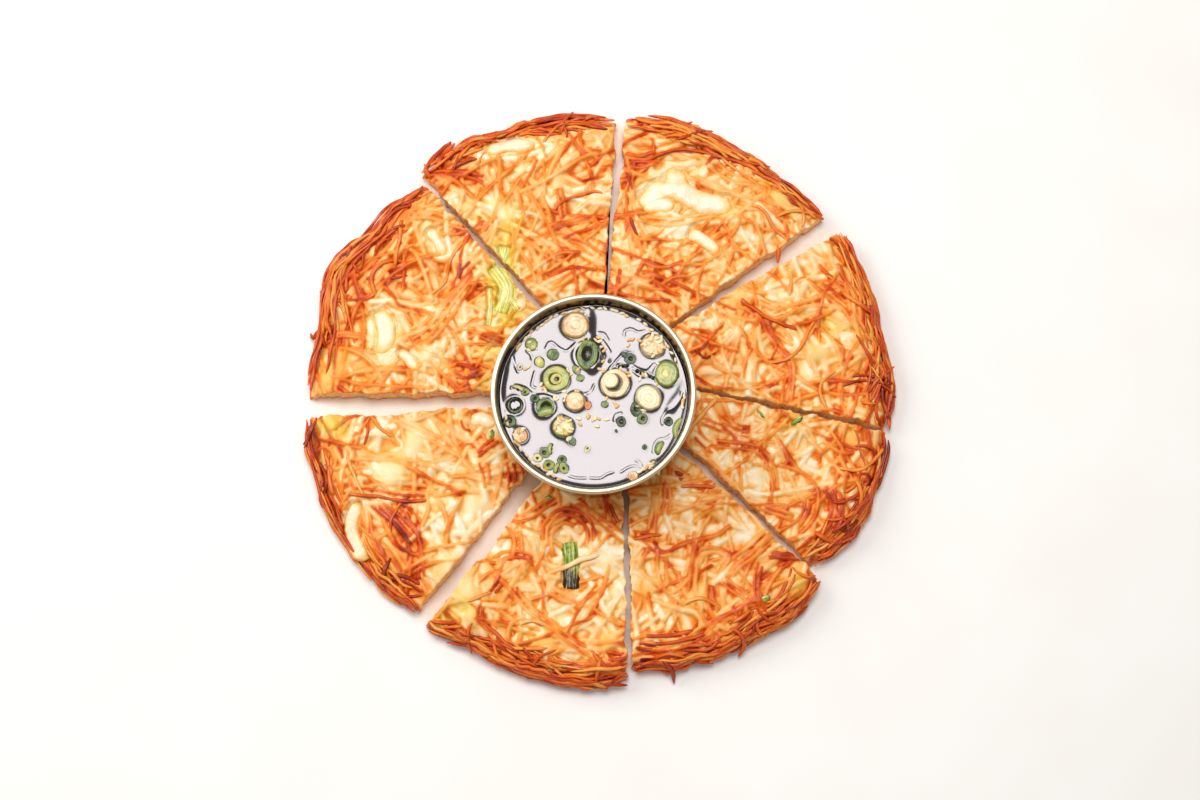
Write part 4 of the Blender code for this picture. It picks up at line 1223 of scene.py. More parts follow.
def guide_lines():
    """The shreds read off the photograph: slice, middle line, width and tone of each."""
    draw = random.Random(SEED + 1)
    lines = []
    for number, guides in GUIDES.items():
        for tone, width, copies, pixels in guides:
            middle = curved([seen_at(pixel, CORE_TOP + 0.8) for pixel in pixels], LINE_STEP)
            for copy in range(copies):
                offset = (copy - 0.5 * (copies - 1)) * width * 0.95
                start = int(draw.uniform(0.0, 0.12) * len(middle)) if copy else 0
                end = len(middle) - (int(draw.uniform(0.0, 0.15) * len(middle)) if copy else 0)
                line = beside(middle, offset, draw)[start:end]
                girth = width * draw.uniform(0.85, 1.05) * (1.0 - 0.35 * float(smooth((tone - 0.55) / 0.3)))
                lines.append((number, line, girth, tone + draw.uniform(-0.06, 0.06)))
    return lines


def rim_path(number, height, outside, draw):
    """A random line in space for a shred stacked along a slice's rim, at this height."""
    span = draw.uniform(*RIM_LENGTH)
    start = draw.uniform(-0.02, 1.02 - span)
    wave, phase = draw.uniform(0.4, 1.6), draw.uniform(0.0, 60.0)
    slant = draw.uniform(-2.0, 2.0)
    side = draw.gauss(0.0, 0.6)
    turn_in = draw.gauss(0.0, 0.6 if height < RIM_UPPER else 2.6)
    hook = draw.uniform(2.0, 6.0) if draw.random() < HOOKED and height > RIM_HOOKS else 0.0
    backwards = draw.random() < 0.5
    points = []
    for step in range(RIM_POINTS):
        share = step / (RIM_POINTS - 1.0)
        wander = wave * wobble(9.0 * share + phase, phase, 2.0)
        level = height + slant * (share - 0.5) + 0.8 * wobble(5.0 * share, phase, 1.7, 4.0)
        inward = abs(turn_in) - turn_in * 2.0 * (share - 0.5) if height > RIM_UPPER else 0.0
        inward += hook * max(0.0, (1.0 - share if backwards else share) - 0.6) ** 2 * 6.0
        flat = rim_point(number, start + span * share, outside + side + wander - inward)
        points.append((flat.x, flat.y, max(1.0, level)))
    return curved(points, SHRED_STEP)


def rim_shreds(relief, bag, number, draw):
    """Browned shreds stacked along a slice's rim, and shorter ones that lie slantwise over them."""
    for height, outside, count in RIM_LAYERS:
        share_kept = RIM_SHARES[number - 1] if height >= RIM_UPPER else 1.0
        for _ in range(round(count * share_kept)):
            path = rim_path(number, height, outside, draw)
            place = Place(number, path[:, 0], path[:, 1])
            covers = relief.sample(relief.blocked, path) & (height > RIM_HOOKS)
            first, last = longest_run((place.margin() > -0.1) & ~covers)
            if last - first > 4:
                tone = draw.uniform(*RIM_TONE) - 0.05 * (height > RIM_UPPER)
                width = draw.uniform(*RIM_WIDTH)
                add_shred(bag, path[first:last], width, width * RIM_FLATNESS, tone, draw)
    for _ in range(RIM_CROSSERS):
        middle = rim_point(number, draw.uniform(0.04, 0.96), -draw.uniform(0.5, 9.0))
        heading = way_of(middle) + 90.0 + draw.gauss(0.0, 30.0)
        length, curl = draw.uniform(*CROSSER_LENGTH), draw.gauss(0.0, 9.0)
        line = evenly(wandering_line(middle, heading, length, curl, 6.0, draw), LINE_STEP)
        if not relief.sample(relief.blocked, line).any():
            width, tone, lift = (draw.uniform(*limits) for limits in (CROSSER_WIDTH, RIM_TONE, CROSSER_LIFT))
            place_shred(relief, bag, number, line, width, tone, draw, lift=lift)


def wandering_line(middle, heading, length, curl, jitter, draw):
    """A random curved line about a point."""
    count = int(length / WALK) + 1
    heading -= 0.5 * curl * count
    point, line = middle - 0.5 * length * polar(heading, 1.0), []
    for _ in range(count):
        line.append(tuple(point))
        point = point + polar(heading, WALK)
        heading += curl + draw.gauss(0.0, jitter)
    return line


def loose_line(relief, number, draw):
    """A random curved line on a slice's top that touches no squid or greens."""
    for _ in range(LOOSE_TRIES):
        across, share = draw.uniform(0.05, 0.95), math.sqrt(draw.uniform(0.12, 1.0))
        middle = rim_point(number, across, 0.0) * share
        heading = way_of(middle) + 90.0 + draw.gauss(0.0, 20.0 + 90.0 * (1.0 - share))
        length, curl = draw.uniform(*LOOSE_LENGTH), draw.gauss(0.0, 5.0)
        line = wandering_line(middle, heading, length, curl, 7.0, draw)
        line = within_slice(number, evenly(line, LINE_STEP))
        if len(line) * LINE_STEP < LOOSE_SHORTEST or relief.sample(relief.blocked, line).any():
            continue
        if relief.sample(relief.browning, line).mean() < draw.uniform(-0.30, 0.05):
            continue
        return line
    return None


def make_shreds(relief, guides, material):
    """The loose shreds of every slice, one object a slice."""
    for number in SLICES:
        draw = random.Random(SEED * 31 + number)
        bag = MeshBag()
        rim_shreds(relief, bag, number, draw)
        for _ in range(LOOSE_SHREDS):
            line = loose_line(relief, number, draw)
            if line is not None:
                place_shred(relief, bag, number, line, draw.uniform(*LOOSE_WIDTH),
                            draw.uniform(*LOOSE_TONE), draw)
        for owner, line, width, tone in guides:
            if owner == number and tone >= EMBEDDED_TONE:
                place_shred(relief, bag, number, line, width, tone - 0.04, draw)
        for owner, tone, width, lift, pixels in BRIDGES:
            if owner == number:
                line = curved([seen_at(pixel, CORE_TOP + 1.0) for pixel in pixels], LINE_STEP)
                place_shred(relief, bag, number, line, width, tone, draw, lift=lift, clip=False)
        bag.make(f"slice_{number}_shreds", material)


# ------------------------------------------------------------------ slices

def slice_top(relief, number):
    """Nodes and faces of a slice's top, with the edge drawn to the slice's outline."""
    place = Place(number, relief.on_mesh(relief.x), relief.on_mesh(relief.y))
    depth = np.minimum(np.minimum(place.margin(), place.inside - CORE_INSET), place.from_tip)
    keep = depth > -EDGE_SLACK * STRIDE * PITCH
    used, faces = grid_faces(np.where(keep, np.arange(keep.size).reshape(keep.shape), -1))
    i, j = np.unravel_index(used, keep.shape)
    return STRIDE * i, STRIDE * j, faces


def draw_to_outline(number, x, y):
    """Move points near a slice's edge onto its outline, with the cut edges a little ragged."""
    place = Place(number, x, y)
    at_rim = place.inside - CORE_INSET
    nearest = np.minimum(np.minimum(place.margin(), at_rim), place.from_tip)
    close = EDGE_CATCH * STRIDE * PITCH
    radius = np.where((at_rim < close) | (at_rim == nearest), place.rim - CORE_INSET, place.radius)
    radius = np.where((place.from_tip < close) | (place.from_tip == nearest), HUB_RADIUS, radius)
    rag = EDGE_RAG * (wobbles(radius, place.angle, 1.9, 30.0 + number) - 0.5)
    rag = np.degrees(rag / np.maximum(radius, HUB_RADIUS))
    first = np.interp(radius, RADII, FACES[number][0])
    last = np.interp(radius, RADII, FACES[number][1])
    to_right = (place.from_right < close) | (place.from_right == nearest)
    to_left = (place.from_left < close) | (place.from_left == nearest)
    angle = np.where(to_right, first - rag, np.where(to_left, last + rag, place.angle))
    return radius * np.cos(np.radians(angle)), radius * np.sin(np.radians(angle))


def side_rows(number, edge):
    """Below a slice's edge, row by row down to the table: how far down it is, its points, tone and egg."""
    flat = edge[:, :2]
    ahead = np.roll(flat, -WALL_STEP, axis=0) - np.roll(flat, WALL_STEP, axis=0)
    outward = np.stack((ahead[:, 1], -ahead[:, 0]), axis=1)
    outward /= np.maximum(1e-9, np.hypot(*outward.T))[:, None]
    steps = np.hypot(*(np.roll(flat, -1, axis=0) - flat).T)
    along = np.concatenate(([0.0], np.cumsum(steps)[:-1]))
    inside = Place(number, flat[:, 0], flat[:, 1]).inside
    at_rim = 1.0 - smooth((inside - CORE_INSET) / SIDE_BLEND)
    for row in range(1, SKIRT_ROWS + 1):
        share = row / SKIRT_ROWS
        level = edge[:, 2] * (1.0 - share)
        layers = wobbles(along / 4.0, level, 1.2, 40.0)
        ends = wobbles(along, level, 1.7, 41.0)
        bulge = RIM_BULGE * math.sin(math.pi * min(1.0, 1.05 * share)) - RIM_UNDERCUT * share ** 4
        rim_push = bulge + LAYER_BULGE * layers
        push = at_rim * rim_push + (1.0 - at_rim) * (CUT_BULGE * ends - CUT_SLOPE * share)
        crust = smooth((CRUST[0] - level) / CRUST[1])
        cut_tone = CUT_TONE + 0.22 * ends + 0.4 * crust
        rim_tone = SIDE_TONE + 0.2 * layers + 0.1 * crust
        tone = at_rim * rim_tone + (1.0 - at_rim) * cut_tone
        points = np.column_stack((flat + outward * push[:, None], level))
        yield share, points, tone, CUT_EGG * (1.0 - at_rim)


def make_slice(relief, number, material):
    """A slice: the relief of its top, its cut faces and rim below, and a flat underside."""
    i, j, faces = slice_top(relief, number)
    x, y = relief.x[i, j].copy(), relief.y[i, j].copy()
    tone, egg, stain = (field[i, j] for field in (relief.tone, relief.egg, relief.stain))
    place = Place(number, x, y)
    from_rim = np.clip((place.inside - CORE_INSET) / RIM_ROUND, 0.0, 1.0)
    fall, width = EDGE_FALL
    z = relief.batter[i, j] + relief.height[i, j]
    z -= RIM_FALL * (1.0 - np.sqrt(1.0 - (1.0 - from_rim) ** 2))
    z -= fall * np.exp(-np.maximum(0.0, place.margin()) / width)
    tone += 0.10 * (1.0 - from_rim)
    loop = edge_loop(faces)
    x[loop], y[loop] = draw_to_outline(number, x[loop], y[loop])
    top = np.column_stack((x, y, z))
    rows = [(top, tone, egg, stain)]
    all_faces = faces.tolist()
    upper, lower = loop, len(x) + np.arange(len(loop))
    for share, points, side_tone, side_egg in side_rows(number, top[loop]):
        rows.append((points, side_tone, side_egg, (1.0 - share) * stain[loop]))
        all_faces += wall_faces(upper, lower)
        upper, lower = lower, lower + len(loop)
    all_faces.append(upper[::-1].tolist())
    points, tone, egg, stain = (np.concatenate(blocks) for blocks in zip(*rows))
    bag = MeshBag()
    bag.add(points, all_faces, tone=tone, egg=egg, stain=stain)
    thing = bag.make(f"slice_{number}_core", material)
    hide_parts(f"slice_{number}")


# ------------------------------------------------------------------ squid and greens

def soft_pieces():
    """Squid and greens, object by object: middle line, width, height and rise of each piece."""
    pieces = {name: [piece] for name, piece in TOPPINGS.items()}
    for name, bits in (("squid_bits", SQUID_BITS), ("leek_bits", LEEK_BITS)):
        pieces[name] = [([tuple(seen_at(pixel, CORE_TOP)) for pixel in pixels], width, BIT_HEIGHT, BIT_RISE)
                        for pixels, width in bits]
    return pieces


def kind_of(name):
    """The kind of soft piece that an object's name begins with."""
    return name.split("_")[0]


def add_piece(relief, bag, line, width, height, rise, end_length):
    """A soft piece that lies in the batter: a lumpy top on the relief's grid, closed below."""
    i, j, out, along, share = relief.under_piece(line, width, end_length)
    index = np.full(relief.x.shape, -1)
    index[i, j] = np.arange(len(i))
    used, faces = grid_faces(relief.on_mesh(index))
    i, j, out, along, share = i[used], j[used], out[used], along[used], share[used]
    x, y = relief.x[i, j], relief.y[i, j]
    lumps = 0.35 * wobbles(x, y, 4.0, 62.0) + 0.12 * wobbles(x, y, 1.3, 63.0)
    z = relief.batter[i, j] + piece_top(out, height, rise) + lumps
    loop = edge_loop(faces)
    low = np.column_stack((x[loop], y[loop], z[loop] - PIECE_SIDE))
    below = len(x) + np.arange(len(loop))
    values = {"out": out, "along": along, "across": 0.5 + 0.5 * share}
    values = {name: np.concatenate((value, value[loop])) for name, value in values.items()}
    all_faces = faces.tolist() + wall_faces(loop, below) + [below[::-1].tolist()]
    bag.add(np.concatenate((np.column_stack((x, y, z)), low)), all_faces, **values)


def make_toppings(relief, materials):
    """The squid and greens of the part, and smaller pieces of squid and leek."""
    for name, pieces in soft_pieces().items():
        kind = kind_of(name)
        bag = MeshBag()
        for piece in pieces:
            add_piece(relief, bag, *piece, PIECE_ENDS[kind])
        if name in TOPPINGS:
            thing = bag.make(f"{name}_looks", materials[kind])
            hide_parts(name)
        else:
            bag.make(name, materials[kind])


def strip(line, levels, width, thickness):
    """Points of a flat strip with rounded ends, ring by ring, and which side of it each lies on.
    The thickness is half of what it has at its middle."""
    turns = 2.0 * math.pi * np.arange(STRIP_SIDES) / STRIP_SIDES
    girth = np.sqrt(np.maximum(0.05, 1.0 - np.abs(np.linspace(-1.0, 1.0, len(line))) ** 3))
    reach = 0.5 * width * girth[:, None] * np.cos(turns)
    flat = line[:, None, :] + directions(line)[1][:, None, :] * reach[:, :, None]
    heights = levels[:, None] + thickness * girth[:, None] * np.sin(turns)
    points = np.concatenate((flat, heights[:, :, None]), axis=2).reshape(-1, 3)
    return points, np.tile(np.cos(turns), len(line))


def make_green_bits(relief, material):
    """Small bits of spring onion that show in the batter."""
    bag = MeshBag()
    for px, py, length, width, turn in GREEN_BITS:
        middle = seen_at((px, py), CORE_TOP + 0.5)
        half = 0.5 * length * polar(turn, 1.0)
        line = evenly([tuple(middle - half), tuple(middle + half)], 0.3)
        line = within_slice(int(slice_at(*middle)[0]), line, -0.4)[::2]
        if len(line) < 5:
            continue
        count = len(line)
        points, side = strip(line, softened(relief.top(line), 3), width, 0.35)
        for number, point in enumerate(points):
            step, k = divmod(number, STRIP_SIDES)
            point[:2] += 0.3 * polar(360.0 * wobble(px + step, py + k, 3.0), 1.0)
        along = np.repeat(np.linspace(0.25, 0.60, count), STRIP_SIDES)
        bag.add(points, ring_faces(count, STRIP_SIDES), across=0.02 * px + 0.2 * side, along=along, out=0.5)
    bag.make("green_bits", material)


# ------------------------------------------------------------------ pot and dip

POT_SIDES = 160
DIP_RINGS = 96
DIP_SECTORS = 440
WALL_MENISCUS = (0.85, 1.25)    # height against the wall, and how fast it falls off
FLOAT_MENISCUS = (0.34, 1.1)    # the same round what floats
RIPPLE = (0.15, 0.56)           # height and width of a crease in the dip's skin
CREST = 0.9                     # the most that the dip rises above its level
FOOT_CURVE = 2.9                # radius of the rounding at the pot's foot
FOOT_FLAT = POT_FOOT - 2.6      # where that rounding begins
FOOT_RISE = 0.15                # how far the base slopes up to there
RIM_ROLL = 1.15                 # radius of the rolled rim
INSIDE_FOOT = (POT_FOOT + 0.9, POT_BASE + 6.2)      # a point on the inside of the wall
AXIS_HOLE = 0.3                 # the base's first and last ring are this small
# Radius and height of the two rings that close the dip below its surface
DIP_BODY = ((POT_FOOT + 0.8, POT_BASE + 6.0), (POT_FOOT - 4.2, POT_BASE + POT_WALL + 0.3))
SMALL_ONION = 3.5               # slices smaller than this have few sides
ONION_SIDES = (20, 44)

# How each slice of garnish looks: kind, tint at its edge and its middle (0 tan, 0.2 cream,
# 0.5 yellow-green, 1 dark green), how much longer than wide it is, and the turn of its long side
GARNISH_LOOKS = (
    ("disc", -0.03, 0.11, 1.05, 20.0), ("tall", 0.56, 0.84, 1.45, 82.0),
    ("ringed", 0.56, 0.44, 1.05, 10.0), ("cup", 0.02, 0.16, 1.03, 60.0),
    ("disc", 0.60, 0.40, 1.14, 80.0), ("disc", 0.06, 0.27, 1.14, -48.0), ("disc", 0.02, 0.06, 1.0, 0.0),
    ("disc", -0.01, 0.09, 1.0, 0.0), ("sunk", 0.84, 0.66, 1.06, 40.0), ("disc", 0.46, 0.08, 1.05, 0.0),
    ("sunk", 0.95, 0.80, 1.06, 70.0), ("disc", -0.02, 0.12, 1.0, 0.0),
)
# What a kind changes: radius and hole as shares of the radius in GARNISH (None: the hole as it is
# there), and how far it is sunk
GARNISH_KINDS = {
    "disc": (1.0, 0.0, 0.0), "tall": (0.88, 0.42, 0.0), "ringed": (1.0, None, 0.0),
    "sunk": (1.0, None, 0.8), "cup": (1.0, 0.62, 0.0),
}
TILT_SHARE, TILTED_RISE = 0.35, 1.2     # a tilted slice: how far it tilts here, and its height
# Smaller bits in the dip, from the pot's axis: place, radius, radius of the hole, tint, length to width
DIP_BITS = (
    (-34.0, -10.7, 2.9, 1.2, 0.90, 1.1), (-19.6, -23.4, 2.4, 0.9, 0.80, 1.2),
    (-22.4, -25.6, 1.9, 0.6, 0.36, 1.1), (-17.8, -28.6, 2.3, 0.8, 0.60, 1.2),
    (-12.6, -26.4, 2.0, 0.7, 0.84, 1.1), (-11.8, -29.8, 2.2, 0.6, 0.66, 1.3),
    (17.4, -5.6, 2.9, 1.1, 0.97, 1.3), (19.8, -9.6, 2.4, 0.9, 0.80, 1.1),
    (11.1, -10.7, 2.3, 0.9, 0.99, 1.2), (-16.4, 17.2, 2.7, 0.0, 0.82, 1.0),
    (-22.1, 14.2, 2.4, 0.0, 0.48, 1.5), (-25.4, 21.6, 2.8, 0.0, 0.60, 1.2),
    (14.9, 15.5, 2.6, 0.9, 0.98, 1.1), (12.6, 17.2, 1.3, 0.0, 0.97, 1.6),
    (-2.2, -4.1, 1.7, 0.0, -0.2, 1.2), (15.9, -33.2, 2.3, 0.0, 0.03, 1.0),
    (-6.8, 10.6, 1.9, 0.0, 0.74, 1.7), (-5.4, 7.4, 1.6, 0.0, 0.70, 1.3),
    (30.3, -10.7, 1.9, 0.7, 0.97, 1.1), (-2.4, -21.9, 1.3, 0.5, 0.30, 1.3),
    (20.6, -21.2, 1.1, 0.4, 0.86, 1.0), (23.9, -27.6, 1.4, 0.5, 0.80, 1.0),
    (-8.4, -19.0, 1.6, 0.0, 0.82, 1.3), (-9.9, -17.6, 1.2, 0.0, 0.30, 1.3),
    (-29.9, 12.0, 1.3, 0.4, 0.20, 1.3), (4.6, -3.6, 1.5, 0.0, 0.78, 1.2),
    (-23.8, -1.2, 2.0, 0.7, 0.92, 1.1), (-27.6, 1.5, 1.6, 0.5, 0.70, 1.4),
    (3.4, 16.0, 1.1, 0.0, 0.96, 2.2), (6.6, 14.6, 0.9, 0.0, 0.97, 1.8),
    (2.0, 19.4, 1.0, 0.0, 0.93, 2.4), (9.2, -14.6, 0.7, 0.0, 0.95, 1.4),
    (-13.4, -9.2, 1.2, 0.0, 0.95, 1.3),
)
# Slivers of green that lie along the wall: place, length, width, turn in degrees, tint
DIP_SLIVERS = (
    (34.2, -13.4, 8.6, 2.6, 74, 0.56), (26.8, -21.6, 5.6, 2.8, 64, 0.62),
    (28.6, -29.0, 4.0, 1.8, 40, 0.70), (-17.2, -22.0, 4.6, 1.6, 84, 0.52),
    (-14.6, -29.8, 4.4, 1.6, 70, 0.50), (-30.6, 3.0, 5.4, 1.5, -24, 0.42),
    (-19.2, -7.2, 6.6, 4.0, 14, 0.62), (19.6, 9.6, 5.2, 0.8, -24, 0.98),
    (23.0, 8.0, 4.0, 0.7, -30, 0.98), (12.2, 12.4, 4.4, 0.8, 8, 0.96),
)
# Creases in the dip's skin: pixels along them
RIPPLES = (
    ((546, 348), (549, 343), (553, 343), (559, 348), (566, 351), (571, 348), (576, 343)),
    ((535, 372), (533, 379), (532, 386), (536, 388)),
    ((511, 388), (517, 386), (524, 388), (531, 393)),
    ((527, 351), (531, 355), (532, 359)),
    ((513, 358), (515, 365), (518, 372)),
    ((599, 333), (604, 334), (608, 340)),
    ((603, 341), (607, 347), (610, 352)),
    ((624, 336), (625, 331), (631, 329), (638, 332), (645, 331)),
    ((610, 368), (617, 360), (622, 355)),
    ((633, 366), (640, 370), (647, 371), (654, 364)),
    ((617, 365), (622, 368), (627, 370)),
    ((633, 371), (638, 375), (643, 377)),
    ((662, 424), (662, 418), (667, 411), (674, 408), (680, 400), (682, 393)),
    ((653, 452), (654, 446), (658, 440), (666, 438), (670, 435)),
    ((621, 472), (627, 468), (633, 466), (640, 467)),
    ((590, 478), (600, 478), (607, 474), (613, 472)),
    ((569, 476), (577, 478), (586, 478)),
    ((535, 399), (538, 396), (544, 395), (551, 397)),
    ((614, 420), (616, 415), (621, 413)),
    ((586, 394), (591, 391), (594, 385)),
    ((636, 460), (640, 463), (642, 467)),
)
# Broad swells that darken the dip beside the largest slices of garnish
SWELLS = (
    ((586, 303), (589, 318), (589, 331), (591, 343), (594, 356), (593, 369)),
    ((676, 352), (682, 372), (681, 392), (670, 408)),
    ((500, 372), (499, 392), (503, 410), (511, 430)),
)
SWELL = (0.52, 2.4)             # height and width of a swell
SEED_SIZE = (2.45, 1.3, 0.8)
SEED_RINGS = 8
SEED_SIDES = 8
# Where sesame seeds lie. Along the wall: from and to which turn in degrees, and how many
SEEDS_AT_WALL = (
    (18.0, 62.0, 9), (66.0, 92.0, 7), (94.0, 150.0, 15), (186.0, 250.0, 17), (300.0, 312.0, 6),
    (352.0, 360.0, 4),
)
# Round or on a slice of garnish: its number, how many, and how far out, to the slice's radius
SEEDS_AT_GARNISH = (
    (1, 4, 1.12), (2, 7, 1.16), (3, 6, 1.10), (4, 4, 1.12), (5, 3, 1.0), (6, 2, 1.05), (7, 17, 0.75),
    (8, 6, 1.0), (10, 12, 0.7), (12, 4, 0.8),
)
# Afloat in loose groups: place from the pot's axis, and how many
SEEDS_AFLOAT = (
    (0.5, -8.5, 5), (16.0, 21.5, 4), (19.0, 8.0, 3), (-27.0, 11.0, 2), (24.0, -30.0, 5), (3.0, 22.0, 2),
    (-4.0, -9.0, 4), (-25.0, 20.0, 4), (-17.0, 0.8, 3), (7.0, -3.0, 4),
)


def pot_point(x, y):
    """A point of the plan from a place round the pot's axis."""
    return POT_CENTRE.x + x, POT_CENTRE.y + y


def turned_points(profile, sides):
    """Points of a turned shape round the pot's axis, ring by ring."""
    turns = 2.0 * math.pi * np.arange(sides) / sides
    rows = []
    for radius, height in profile:
        x, y = pot_point(radius * np.cos(turns), radius * np.sin(turns))
        rows.append(np.column_stack((x, y, np.full(sides, height))))
    return np.concatenate(rows)


def make_pot(material):
    """The turned pot with a rounded foot, a thin wall and a rolled rim."""
    foot = POT_BASE + FOOT_RISE
    profile = [(AXIS_HOLE, POT_BASE), (POT_FOOT - 4.5, POT_BASE), (FOOT_FLAT, foot)]
    for step in range(1, 7):
        turn = 0.5 * math.pi * step / 6.0
        profile.append((FOOT_FLAT + FOOT_CURVE * math.sin(turn), foot + FOOT_CURVE * (1 - math.cos(turn))))
    profile += [(POT_FOOT + 2.0, POT_BASE + 7.0), (POT_RADIUS - 2.6, POT_RIM - 12.0),
                (POT_RADIUS - 1.5, POT_RIM - 3.2)]
    outer_rings = len(profile)
    for step in range(15):
        turn = math.radians(-110.0 + 290.0 * step / 14.0)
        bulge = math.copysign(abs(math.sin(turn)) ** 0.6, math.sin(turn))
        out = RIM_ROLL * (math.cos(turn) - 1.0)
        profile.append((POT_RADIUS + out, POT_RIM + RIM_ROLL * (bulge - 1.0)))
    profile += [(POT_RADIUS - 2.7, POT_RIM - 3.0), INSIDE_FOOT, (POT_FOOT - 1.0, POT_BASE + 2.6),
                (POT_FOOT - 4.0, POT_BASE + POT_WALL), (AXIS_HOLE, POT_BASE + POT_WALL)]
    bag = MeshBag()
    points = turned_points(profile, POT_SIDES)
    # Share of the metal's own pale colour: full on the rolled rim and at least 0.6 outside; below the rim
    # inside, the colour is painted dark brown as a reflection of dark surroundings
    polish = smooth((points[:, 2] - POT_RIM + 2.4) / 0.8)
    outside = slice(0, outer_rings * POT_SIDES)
    polish[outside] = np.maximum(polish[outside], 0.6)
    bag.add(points, ring_faces(len(profile), POT_SIDES), polish=polish)
    thing = bag.make("dip_pot_looks", material)
    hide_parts("dip_pot")


def level_radius():
    """The inner radius of the pot at the dip's level."""
    low, high = INSIDE_FOOT, (POT_RADIUS - 2.6, POT_RIM - 2.4)
    share = (SAUCE_LEVEL - low[1]) / (high[1] - low[1])
    return low[0] + (high[0] - low[0]) * share


def floaters():
    """Place, radius and weight of everything that lifts the dip's surface round itself."""
    things = [(*place, radius, 1.0) for place, radius, *_ in GARNISH]
    things += [(x, y, radius, 0.4) for x, y, radius, *_ in DIP_BITS]
    for x, y, length, _, turn, _ in DIP_SLIVERS:
        for share in (-0.35, 0.0, 0.35):
            shift = share * length * polar(turn, 1.0)
            things.append((x + shift.x, y + shift.y, 0.9, 0.3))
    return things


def distance_to(x, y, line):
    """How far points lie from a line of points."""
    nearest = np.full(np.shape(x), 1e9)
    for px, py in line:
        nearest = np.minimum(nearest, (x - px) ** 2 + (y - py) ** 2)
    return np.sqrt(nearest)


def dip_height(x, y):
    """Height of the dip's surface at places round the pot's axis."""
    radius = np.hypot(x, y)
    edge = level_radius() - 0.1
    rise, fall = WALL_MENISCUS
    angle = np.arctan2(y, x)
    uneven = 1.0 + 0.5 * wobbles(6.0 * np.cos(angle), 6.0 * np.sin(angle), 2.0, 50.0)
    height = rise * np.exp(-(edge - radius) / (fall * uneven))
    rise, fall = FLOAT_MENISCUS
    below = np.zeros(np.shape(x))
    for fx, fy, size, weight in floaters():
        away = np.hypot(x - fx, y - fy) - size
        height += rise * weight * np.exp(-np.maximum(0.0, away) / fall)
        below = np.maximum(below, smooth((-away - 0.2 * size) / 0.5) * min(1.0, size / 2.0))
    for lines, (depth, width) in ((RIPPLES, RIPPLE), (SWELLS, SWELL)):
        for pixels in lines:
            line = curved([seen_at(pixel, SAUCE_LEVEL) - POT_CENTRE for pixel in pixels], 0.3)
            height += depth * np.exp(-(distance_to(x, y, line) / width) ** 2)
    return SAUCE_LEVEL + np.minimum(height, CREST) - 1.5 * below


def make_dip(material):
    """The dip's surface, drawn up against the wall and against what floats in it, and its body."""
    edge = level_radius() - 0.1
    radii = edge * np.linspace(0.0, 1.0, DIP_RINGS + 1)[1:] ** 0.86
    turns = 2.0 * math.pi * np.arange(DIP_SECTORS) / DIP_SECTORS
    r, t = np.meshgrid(radii, turns, indexing="ij")
    x, y = r * np.cos(t), r * np.sin(t)
    surface = np.column_stack((*pot_point(x.ravel(), y.ravel()), dip_height(x, y).ravel()))
    points = np.concatenate((surface, turned_points(DIP_BODY, DIP_SECTORS)))
    faces = ring_faces(DIP_RINGS + len(DIP_BODY), DIP_SECTORS)
    bag = MeshBag()
    bag.add(points, [face[::-1] for face in faces])
    thing = bag.make("dip_surface", material)
    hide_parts("dip_sauce")


def onion_profile(radius, hole, height, depth):
    """Radius, height, share of the way in, and how dark each ring is painted, from its foot up and in; darker
    on the sides, and painted shade in the grooves and the hole. The hole, if there is one, ends this deep."""
    wall = radius - hole
    profile = [(0.97 * radius, -height, 0.0, 0.6), (radius, -0.6, 0.0, 0.55)]
    # The grooves between rings are painted darker the deeper they lie, as shade
    for share, low in ((0.08, 0.12), (0.26, 0.0), (0.36, 0.10), (0.46, 0.0), (0.60, 0.02), (0.68, 0.10),
                       (0.78, 0.0), (0.92, 0.04)):
        profile.append((radius - share * wall, -low, share, 3.4 * low))
    if hole > 0.0:
        # The hole is painted dark, as shade, most at its bottom
        profile += [(hole, -0.5 * depth, 1.0, 0.55), (0.72 * hole, -depth, 1.0, 1.0),
                    (0.05, -depth, 1.0, 1.0)]
    else:
        profile.append((0.03, -0.05, 1.0, 0.1))
    return profile


def add_onion(bag, place, radius, hole, height, lift, looks, draw, tilt=0.0, depth=1.1):
    """One slice of spring onion or shallot, out of round, with the rings of its cut face."""
    outer, inner, stretch, turn = looks
    sides = ONION_SIDES[radius > SMALL_ONION]
    phase = draw.uniform(0.0, 50.0)
    lean, turn = math.radians(tilt), math.radians(turn)
    centre_shift = 0.10 * radius * polar(draw.uniform(0.0, 360.0), 1.0)
    axis = Vector((0.4, 1.0)).normalized()
    points, tints, painted_shades = [], [], []
    for r, h, share, dark in onion_profile(radius, hole, height, depth):
        for k in range(sides):
            angle = 2.0 * math.pi * k / sides
            wave = 1.0 + 0.07 * wobble(2.2 * math.cos(angle) + phase, 2.2 * math.sin(angle), 1.4)
            u = r * wave * math.cos(angle) * math.sqrt(stretch)
            v = r * wave * math.sin(angle) / math.sqrt(stretch)
            x = u * math.cos(turn) - v * math.sin(turn) + centre_shift.x * share
            y = u * math.sin(turn) + v * math.cos(turn) + centre_shift.y * share
            z = h + 0.16 * wobble(x + phase, y, 2.2)
            out = x * axis.y - y * axis.x
            move = out * (math.cos(lean) - 1.0) + z * math.sin(lean)
            z = z * math.cos(lean) - out * math.sin(lean)
            px, py = pot_point(place[0] + x + axis.y * move, place[1] + y - axis.x * move)
            points.append((px, py, SAUCE_LEVEL + lift + z))
            tints.append(outer + (inner - outer) * share + 0.13 * wobble(x + phase, y, 2.6, 1.0))
            painted_shades.append(dark)
    bag.add(points, ring_faces(len(points) // sides, sides), tint=np.array(tints), dark=np.array(painted_shades))


